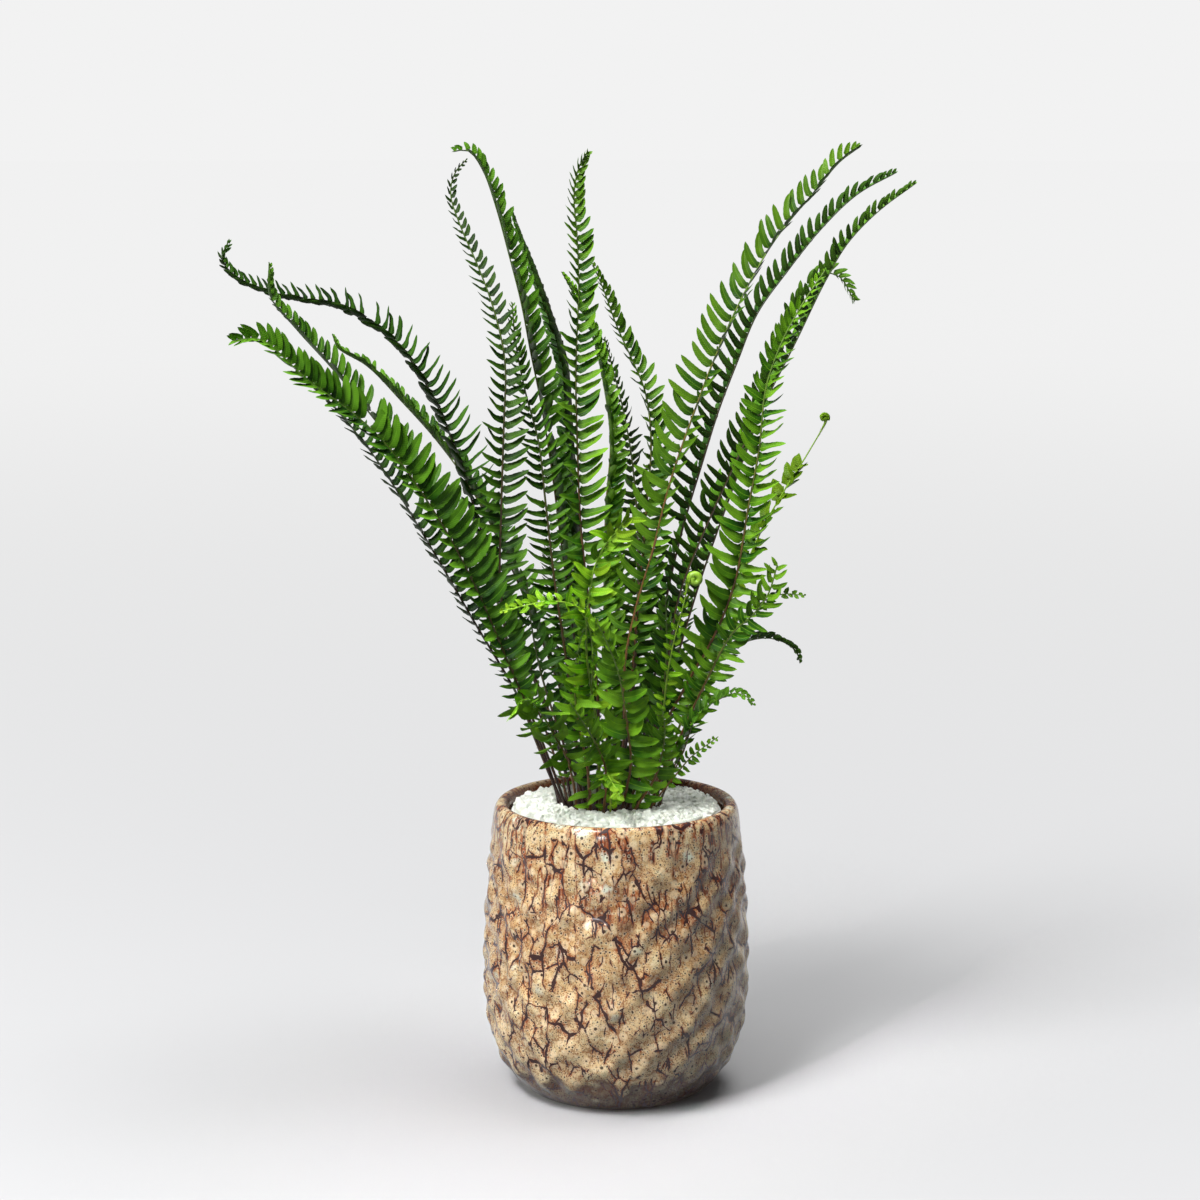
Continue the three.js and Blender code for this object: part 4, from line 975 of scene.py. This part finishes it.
# ---- Ribs --------------------------------------------------------------------------------------------
def place(point):
    """A surveyed point carried out to its depth."""
    x, z, depth = point
    eye_x, eye_z = SURVEY["x"], SURVEY["height"]
    share = (SURVEY["distance"] + depth) / SURVEY["distance"]
    return [eye_x + (x - eye_x) * share, depth, eye_z - (eye_z - z) * share]


def coil_points(start, coil):
    """The curled end of a crozier, which winds up towards its middle."""
    steps = round(coil["turns"] * COIL_STEPS)
    points = []
    for i in range(1, steps + 1):
        angle = 2 * math.pi * coil["turns"] * i / steps
        shrunk = coil["radius"] * (1 - COIL_SHRINK * i / steps)
        across = coil["radius"] - shrunk * math.cos(angle)
        points.append([start[0] - coil["to"] * across, start[1], start[2] + shrunk * math.sin(angle)])
    return points


def coiled_length(coil):
    return 2 * math.pi * coil["turns"] * coil["radius"] * (1 - COIL_SHRINK / 2) if coil else 0


def smooth_curve(points, steps=24):
    """A centripetal Catmull-Rom curve through the points, as a fine line."""
    p = np.array(points, float)
    p = np.concatenate([[2 * p[0] - p[1]], p, [2 * p[-1] - p[-2]]])
    a, b, c, d = p[:-3], p[1:-2], p[2:-1], p[3:]
    steps_between = (b - a, c - b, d - c)
    before, between, after = (np.sqrt(np.linalg.norm(step, axis=1))[:, None] for step in steps_between)
    leave = ((b - a) / before - (c - a) / (before + between) + (c - b) / between) * between
    arrive = ((c - b) / between - (d - b) / (between + after) + (d - c) / after) * between
    t = (np.arange(steps) / steps)[None, :, None]
    b, c, leave, arrive = (v[:, None] for v in (b, c, leave, arrive))
    line = b + leave * t + (3 * (c - b) - 2 * leave - arrive) * t**2 + (2 * (b - c) + leave + arrive) * t**3
    return np.concatenate([line.reshape(-1, 3), p[-2:-1]])


class Rib:
    """A frond's line, with the side that its leaflets look to carried along it, turned by no more than the
    frond's own twist."""

    def __init__(self, frond):
        x, y = frond["root"]
        points = [[x, y, SOIL_TOP - ROOT_DEPTH], [x, y, SOIL_TOP], *map(place, frond["route"])]
        coil = frond["coil"]
        if coil:
            points += coil_points(points[-1], coil)
        self.line = smooth_curve(points)
        steps = np.linalg.norm(np.diff(self.line, axis=0), axis=1)
        self.lengths = np.concatenate([[0], np.cumsum(steps)])
        self.whole = self.lengths[-1]
        self.coiled = coiled_length(coil)
        self.along = unit(np.gradient(self.line, self.lengths, axis=0))
        self.up = self.carried(math.radians(frond["face"]), math.radians(frond["twist"]))

    def carried(self, face, twist):
        up = np.array([math.cos(face), math.sin(face), 0])
        ups = []
        for along in self.along:
            up = up - along * (up @ along)
            up = up / math.sqrt(up @ up)
            ups.append(up)
        ups = np.array(ups)
        turn = (twist * self.lengths / self.whole)[:, None]
        return ups * np.cos(turn) + np.cross(self.along, ups) * np.sin(turn)

    def frames(self, lengths):
        """At each length: place, direction (along), upper side (up), right-hand side, share of the whole."""
        at, along, up = (
            np.stack([np.interp(lengths, self.lengths, values[:, i]) for i in range(3)], axis=-1)
            for values in (self.line, self.along, self.up)
        )
        along = unit(along)
        up = unit(up - along * np.sum(up * along, axis=-1, keepdims=True))
        return at, along, up, np.cross(along, up), np.asarray(lengths) / self.whole


def half_sizes(frond, share):
    """Half the rib's width and thickness at a share of its length."""
    slim = SMALL_STALK if frond["reach"] < SMALL_FROND else 1
    width = RIB_SHARE / 2 * slim * lerp(STALK["width"], STALK["tip_width"], share)
    thickness = RIB_SHARE / 2 * lerp(slim * STALK["thickness"], STALK["tip_thickness"], share)
    return width, thickness


def add_rib(shape, frond, rib):
    """A tube. A young coil is thicker than the rib that it ends."""
    sides = RIB_SIDES
    start = ROOT_DEPTH - 6
    coil_start = rib.whole - rib.coiled
    lengths = np.linspace(start, coil_start, max(12, round((coil_start - start) / 5)))
    if rib.coiled:
        lengths = np.concatenate([lengths, np.linspace(coil_start, rib.whole, 36)[1:]])
    at, along, up, right, share = rib.frames(lengths)
    width, thickness = half_sizes(frond, share)
    if rib.coiled:
        swell = smooth_step(lengths, coil_start - 12, coil_start + 4)
        swell = swell * COIL_SWELL * frond["coil"]["radius"]
        width, thickness = width + swell, thickness + swell
    flare = 1 + 0.45 * np.exp(-(lengths - ROOT_DEPTH).clip(0) / 5)
    angles = angles_round(sides)
    wide = (width * flare)[:, None, None] * np.cos(angles)[None, :, None] * right[:, None]
    thick = (thickness * flare)[:, None, None] * np.sin(angles)[None, :, None] * up[:, None]
    rings = at[:, None] + wide + thick
    tip = at[-1:] + along[-1:] * width[-1]
    points = np.concatenate([rings.reshape(-1, 3), tip])
    marks = np.zeros_like(points)
    marks[:, 2] = np.concatenate([np.repeat(share, sides), [1.0]])
    tube = grid_faces(len(lengths), sides, closed=True)
    shape.add(points, tube, 1, marks)
    last = len(points) - 1 - sides
    cap = [(last + i, last + (i + 1) % sides, len(points) - 1) for i in range(sides)]
    shape.add(points, cap, 1, marks)


# ---- Leaflets ----------------------------------------------------------------------------------------
class TakenAir:
    """Which frond, if any, fills each small cube of the air, so that the next one keeps clear."""

    def __init__(self, box, cell):
        low, high = (np.array(corner) / MM for corner in box)
        self.low = low - 30
        self.cell = cell
        self.owner = np.zeros(np.ceil((high + 30 - self.low) / cell).astype(int), np.int16)

    def cubes(self, points):
        where = ((points - self.low) / self.cell).astype(int)
        return tuple(np.clip(where, 0, np.array(self.owner.shape) - 1).T)

    def is_free(self, points, owner):
        found = self.owner[self.cubes(points)]
        return not ((found != 0) & (found != owner)).any()

    def take(self, points, owner):
        self.owner[self.cubes(points)] = owner


def leaflet_share(place, blunt):
    """How long a leaflet is, as a share of the longest, by its place on the leafy part of the rib."""
    return min(1, 0.5 + 1.8 * place) * min(1, 1.15 * max(0.0, 1 - place) ** blunt)


def leaflet_faces(rows):
    """Quads of an upper and a lower skin that share their outline, and how many of them are upper ones."""
    columns = LEAFLET_COLUMNS
    upper = np.arange((rows + 1) * (columns + 1)).reshape(rows + 1, columns + 1)
    lower = upper.copy()
    lower[1:-1, 1:-1] = upper.size + np.arange((rows - 1) * (columns - 1)).reshape(rows - 1, columns - 1)

    def quads(ids):
        return np.stack([ids[:-1, :-1], ids[1:, :-1], ids[1:, 1:], ids[:-1, 1:]], axis=-1).reshape(-1, 4)

    return np.concatenate([quads(upper), quads(lower)[:, ::-1]]), rows * columns


def add_blade(shape, upper, lower, marks, side, share, tint):
    """Both skins of a placed leaflet. One on the left is a mirror image, so its faces go the other way."""
    faces, upper_count = leaflet_faces(len(upper) - 1)
    points = np.concatenate([upper.reshape(-1, 3), lower[1:-1, 1:-1].reshape(-1, 3)])
    flat = np.concatenate([marks.reshape(-1, 2), marks[1:-1, 1:-1].reshape(-1, 2)])
    at = np.concatenate([flat, np.full((len(flat), 1), share)], axis=1)
    look = np.tile([tint[0], 0.0, tint[1]], (len(faces), 1))
    look[upper_count:, 1] = 1.0
    shape.add(points, faces if side > 0 else faces[:, ::-1], 0, at, look)


def leaflet_plan(length, width, sickle, draws, rows):
    """A leaflet before it is placed: for each row of points its midrib's x (outwards), y (towards the
    frond's tip), droop and heading; how far each point lies off the blade, on both skins; and its marks,
    which are millimetres along and across. A curved blade with a broad root, an ear on its forward side, and
    a scalloped edge."""
    s = np.linspace(0, 1, rows + 1)
    heading = sickle * (1.9 * s - 0.35)
    step = length / rows
    mid_x = np.concatenate([[0], np.cumsum(np.cos(heading[1:]))]) * step
    mid_y = np.concatenate([[0], np.cumsum(np.sin(heading[1:]))]) * step
    taper = (1 - s**4.4).clip(0) ** 0.62 * (1 - 0.22 * s)
    scallop = np.where(np.arange(rows + 1) % 2, 1.0, 0.93)
    ear = 0.3 * np.exp(-(((s - 0.08) / 0.07) ** 2))
    forward = width / 2 * (taper * smooth_step(s, -0.04, 0.04) + ear) * scallop
    rear = width / 2 * taper * smooth_step(s, -0.05, 0.13) * scallop
    forward[-1] = rear[-1] = 0.02 * width
    t = np.linspace(-1, 1, LEAFLET_COLUMNS + 1)
    half = np.where(t[None] > 0, forward[:, None], rear[:, None])
    droop, ripple, phase = draws.uniform(-0.06, 0.14), draws.uniform(0.05, 0.22), draws.uniform(0, 6.3)
    cup = half * (0.62 * np.abs(t) - 0.3 * t**2)[None]
    wave = ripple * half * (t**2)[None] * np.sin(9 * s + phase)[:, None]
    thin = BLADE / 2 * (1 - t**4)[None] * np.minimum(1, 3 * (1 - s))[:, None]
    midrib = np.stack([mid_x, mid_y, -droop * length * s**2, heading], axis=-1)
    marks = np.stack([length * s[:, None] + 0 * half, t[None] * half], axis=-1)
    return midrib, (cup + wave + thin, cup + wave - thin), marks


def place_leaflet(midrib, off, marks, root, rib, front, level, louvre):
    """One skin's points. The blade turns about its midrib as it leaves the rib."""
    s = np.linspace(0, 1, len(midrib))
    turn = louvre * (0.6 + 0.5 * smooth_step(s, 0.0, 0.5))
    cos, sin = np.cos(turn)[:, None], np.sin(turn)[:, None]
    x, y, z, heading = (midrib[:, i : i + 1] for i in range(4))
    forward = front * np.cos(heading) - rib * np.sin(heading)
    across, normal = forward * cos - level * sin, level * cos + forward * sin
    middle = root + rib * x + front * y + level * z
    return middle[:, None] + across[:, None] * marks[..., 1:2] + normal[:, None] * off[..., None]


def by_size(frond, values):
    """A value between those of a small and of a large frond."""
    return lerp(values["small"], values["large"], smooth_step(frond["reach"], 10, 19))


def unruliness(frond):
    """How unevenly the leaflets stand: more so on a small frond and on a fresh one."""
    small = float(lerp(2.4, 1.0, smooth_step(frond["reach"], 12, 22)))
    return frond["unruly"] + FRESHNESS.get(frond["tone"], 0) + small


# Ways to grow a leaflet, best first: as it should be, folded further up or down, then shorter.
CHANGES = [(size, lift) for size in (1, 0.8, 0.6, 0.42) for lift in (0, 14, -14, 28, -28)]


def add_leaflet(shape, frond, frame_at, side, share, owner, air, draws):
    """Grows one leaflet where the air is free, or none."""
    at, along, up, right, along_share = frame_at
    reach = frond["reach"]
    grown = leaflet_share(share, frond["blunt"])
    unruly = unruliness(frond)
    sweep = math.radians(lerp(SWEEP["first"], SWEEP["last"], share**2) + draws.normal(0, 3.5) * unruly)
    louvre = lerp(*frond["louvre"], share) + side * frond["skew"] + draws.normal(0, 6) * unruly
    sickle = draws.normal(0.34, 0.11 * unruly)
    uneven_fold, uneven_size = draws.normal(0, 4) * unruly, max(0.6, draws.normal(1, 0.045 * unruly))
    # shade: the frond's own tone, with painted shade and painted light in it.
    tint, shade = draws.uniform(), lerp(*frond["shade"], share)
    seed = int(draws.integers(1 << 31))
    half_width, _ = half_sizes(frond, along_share)
    broad = by_size(frond, LEAFLET_WIDTH) * frond["broad"]
    for size, lift in CHANGES:
        fold = math.radians(frond["lift"] + lift + uneven_fold)
        length = reach * grown * size * uneven_size
        width = broad * reach * grown**0.6 * size**0.5
        out = right * side * math.cos(fold) + up * math.sin(fold)
        rib = out * math.sin(sweep) + along * math.cos(sweep)
        level = unit(up - rib * (up @ rib))
        front = unit(along - rib * (along @ rib))
        rows = round(length / LEAFLET_ROWS["length"])
        rows = min(max(rows, LEAFLET_ROWS["least"]), LEAFLET_ROWS["most"])
        midrib, skins, marks = leaflet_plan(length, width, sickle, np.random.default_rng(seed), rows)
        root = at + right * side * half_width * 0.6
        upper = place_leaflet(midrib, skins[0], marks, root, rib, front, level, math.radians(louvre))
        if upper[..., 2].min() < LOWEST_LEAFLET or not air.is_free(upper.reshape(-1, 3), owner):
            continue
        air.take(upper.reshape(-1, 3), owner)
        lower = place_leaflet(midrib, skins[1], marks, root, rib, front, level, math.radians(louvre))
        add_blade(shape, upper, lower, marks, side, share, (tint, shade))
        return


def add_leaflets(shape, frond, rib, owner, air, draws):
    """Two rows of leaflets, set by turns left and right, closer and shorter towards the tip."""
    start = max(COLLAR + 4.5, rib.whole * frond["bare"])
    end = rib.whole * (1 - frond["bare_tip"]) - rib.coiled
    pitch = np.clip(by_size(frond, PITCH) * frond["reach"], PITCH["least"], PITCH["most"])
    pairs = round((end - start) / (pitch * frond["close"]))
    for i in range(pairs):
        for side, turn in ((1, 0.2), (-1, 0.7)):
            share = (i + turn + draws.uniform(-0.08, 0.08)) / pairs
            if draws.uniform() < 0.02 * unruliness(frond) or not 0 < share < 1:
                continue
            length = lerp(start, end, 1 - (1 - share) ** CROWDING)
            add_leaflet(shape, frond, rib.frames(length), side, share, owner, air, draws)


def add_coil_leaflets(shape, frond, rib, draws):
    """The crowded, still rolled leaflets of a crozier, which lie on its coil like scales."""
    coil = frond["coil"]
    start = np.array(rib.frames(rib.whole - rib.coiled)[0])
    middle = start - [coil["to"] * coil["radius"], 0, 0]
    for i in range(COIL_LEAFLETS):
        share = i / COIL_LEAFLETS
        at, along, *_ = rib.frames(lerp(rib.whole - 1.15 * rib.coiled, rib.whole, share))
        away = unit((at - middle) * [1, 0, 1] + along * 0.05)
        axle = np.cross(along, away)
        for lean in COIL_LEANS:
            angle = math.radians(lean + draws.uniform(-14, 14))
            up = away * math.cos(angle) + axle * math.sin(angle)
            outwards = unit(along + up * draws.uniform(0.0, 0.45))
            level = unit(up - outwards * (up @ outwards))
            front = np.cross(level, outwards)
            length = lerp(0.62, 0.42, share) * coil["radius"] * draws.uniform(0.8, 1.2)
            midrib, skins, marks = leaflet_plan(length, 2.2, draws.uniform(-0.5, 0.5), draws, 5)
            root = at + up * lerp(1.3, 0.7, share)
            upper, lower = (
                place_leaflet(midrib, skin, marks, root, outwards, front, level, 0.3) for skin in skins
            )
            add_blade(shape, upper, lower, marks, 1, 0.9, (draws.uniform(), 0))


def add_scales(shape, frond, rib, draws):
    """Thin brown scales on the lower stalk, and hairs on a crozier's coil."""
    bare = rib.whole * frond["bare"]
    places = bare * draws.power(0.55, size=int(bare * 0.55)) + ROOT_DEPTH
    if rib.coiled:
        places = np.concatenate([places, draws.uniform(rib.whole - rib.coiled - 14, rib.whole, 70)])
    at, along, up, right, share = rib.frames(np.minimum(places, rib.whole))
    width, thickness = half_sizes(frond, share)
    turn = draws.uniform(0, 2 * np.pi, len(places))[:, None]
    outwards = right * np.cos(turn) + up * np.sin(turn)
    beside = np.cross(along, outwards)
    root = at + outwards * (0.9 * np.maximum(width, thickness))[:, None]
    length = draws.uniform(1.0, 2.6, (len(places), 1))
    lean = draws.uniform(0.15, 0.9, (len(places), 1))
    tip = root + unit(along + outwards * lean) * length
    middle = lerp(root, tip, 0.35)
    points = np.stack([root, middle + beside * 0.17, tip, middle - beside * 0.17], axis=1).reshape(-1, 3)
    shape.add(points, np.arange(len(points)).reshape(-1, 4), 2)


def make_fronds():
    """The nearest frond grows first, and each keeps clear of the air that those before it have filled."""
    air = TakenAir(CAD_BOX, AIR_CELL)
    leaves = {tone: leaf_material(tone) for tone in LEAF_COLOURS}
    stalks = {tone: stalk_material(tone) for tone in STALK_COLOURS}
    scales = scale_material()
    ribs = [Rib(frond) for frond in FRONDS]
    for owner, rib in enumerate(ribs, 1):
        air.take(rib.frames(np.arange(0, rib.whole, 1.0))[0], owner)

    def middle_depth(i):
        route = FRONDS[i]["route"]
        return route[len(route) // 2][2]

    for i in sorted(range(len(FRONDS)), key=middle_depth):
        frond, rib, owner = FRONDS[i], ribs[i], i + 1
        draws = np.random.default_rng(SEEDS["fronds"] + owner)
        shape = Shape()
        add_rib(shape, frond, rib)
        add_leaflets(shape, frond, rib, owner, air, draws)
        if rib.coiled:
            add_coil_leaflets(shape, frond, rib, draws)
        add_scales(shape, frond, rib, draws)
        tone, name = frond["tone"], frond["name"]
        shape.make("leafy_" + name, "frond_" + name, [leaves[tone], stalks[tone], scales])


# ---- Studio ------------------------------------------------------------------------------------------
def make_floor():
    sides, radii = 96, (0.05, 0.5, 1.5, 4, 12, 40)
    angles = angles_round(sides)
    rings = [ring_points(radius, angles, 0) for radius in radii]
    mesh = bpy.data.meshes.new("floor")
    faces = grid_faces(len(radii), sides, closed=True)[:, ::-1].tolist() + [list(range(sides))]
    mesh.from_pydata(np.concatenate(rings).tolist(), [], faces)
    mesh.materials.append(floor_material())
    floor = bpy.data.objects.new("floor", mesh)
    bpy.context.scene.collection.objects.link(floor)
    floor.visible_diffuse = floor.visible_transmission = False  # no light comes back from it to the leaves


def make_light(name, at, towards, side, watts, spread=180):
    """A square soft box."""
    lamp = bpy.data.lights.new(name, "AREA")
    lamp.shape = "RECTANGLE"
    lamp.size = lamp.size_y = side
    lamp.energy = watts
    lamp.spread = math.radians(spread)
    light = bpy.data.objects.new(name, lamp)
    light.visible_diffuse = name != "glints"  # this one shows in the gloss only
    light.location = at
    light.rotation_euler = (Vector(towards) - Vector(at)).to_track_quat("-Z", "Y").to_euler()
    bpy.context.scene.collection.objects.link(light)


def make_world():
    """A near-white backdrop all round. It is dimmer in the gloss, and lights the plant only a little, so that
    the lamps shape it."""
    world = bpy.data.worlds.new("studio")
    bpy.context.scene.world = world
    world.use_nodes = True
    tree = world.node_tree
    seen = tree.nodes["Background"]
    seen.inputs["Color"].default_value = srgb(242, 242, 242)
    dim = tree.nodes.new("ShaderNodeBackground")
    dim.inputs["Color"].default_value = srgb(236, 240, 244)
    dim.inputs["Strength"].default_value = FILL
    glossy = tree.nodes.new("ShaderNodeBackground")
    glossy.inputs["Color"].default_value = srgb(140, 142, 146)
    path = tree.nodes.new("ShaderNodeLightPath").outputs
    shown = dim.outputs[0]
    for kind, light in (("Is Glossy Ray", glossy), ("Is Camera Ray", seen)):
        either = tree.nodes.new("ShaderNodeMixShader")
        tree.links.new(path[kind], either.inputs[0])
        tree.links.new(shown, either.inputs[1])
        tree.links.new(light.outputs[0], either.inputs[2])
        shown = either.outputs[0]
    tree.links.new(shown, tree.nodes["World Output"].inputs["Surface"])


def make_camera():
    """Stands where the photograph was taken from, and looks down a little."""
    lens = bpy.data.cameras.new("camera")
    lens.sensor_width = CAMERA["sensor"]
    lens.lens = CAMERA["focal_length"]
    camera = bpy.data.objects.new("camera", lens)
    camera.location = (SURVEY["x"] * MM, -SURVEY["distance"] * MM, SURVEY["height"] * MM)
    camera.rotation_euler = (math.radians(90 - CAMERA["pitch"]), 0, 0)
    bpy.context.scene.collection.objects.link(camera)
    bpy.context.scene.camera = camera


make_pot()
make_soil()
make_gravel()
make_fronds()
make_floor()
make_world()
for lamp_values in LAMPS:
    make_light(**lamp_values)
make_camera()
bpy.context.scene.view_settings.view_transform = "Standard"

bpy.context.view_layer.update()
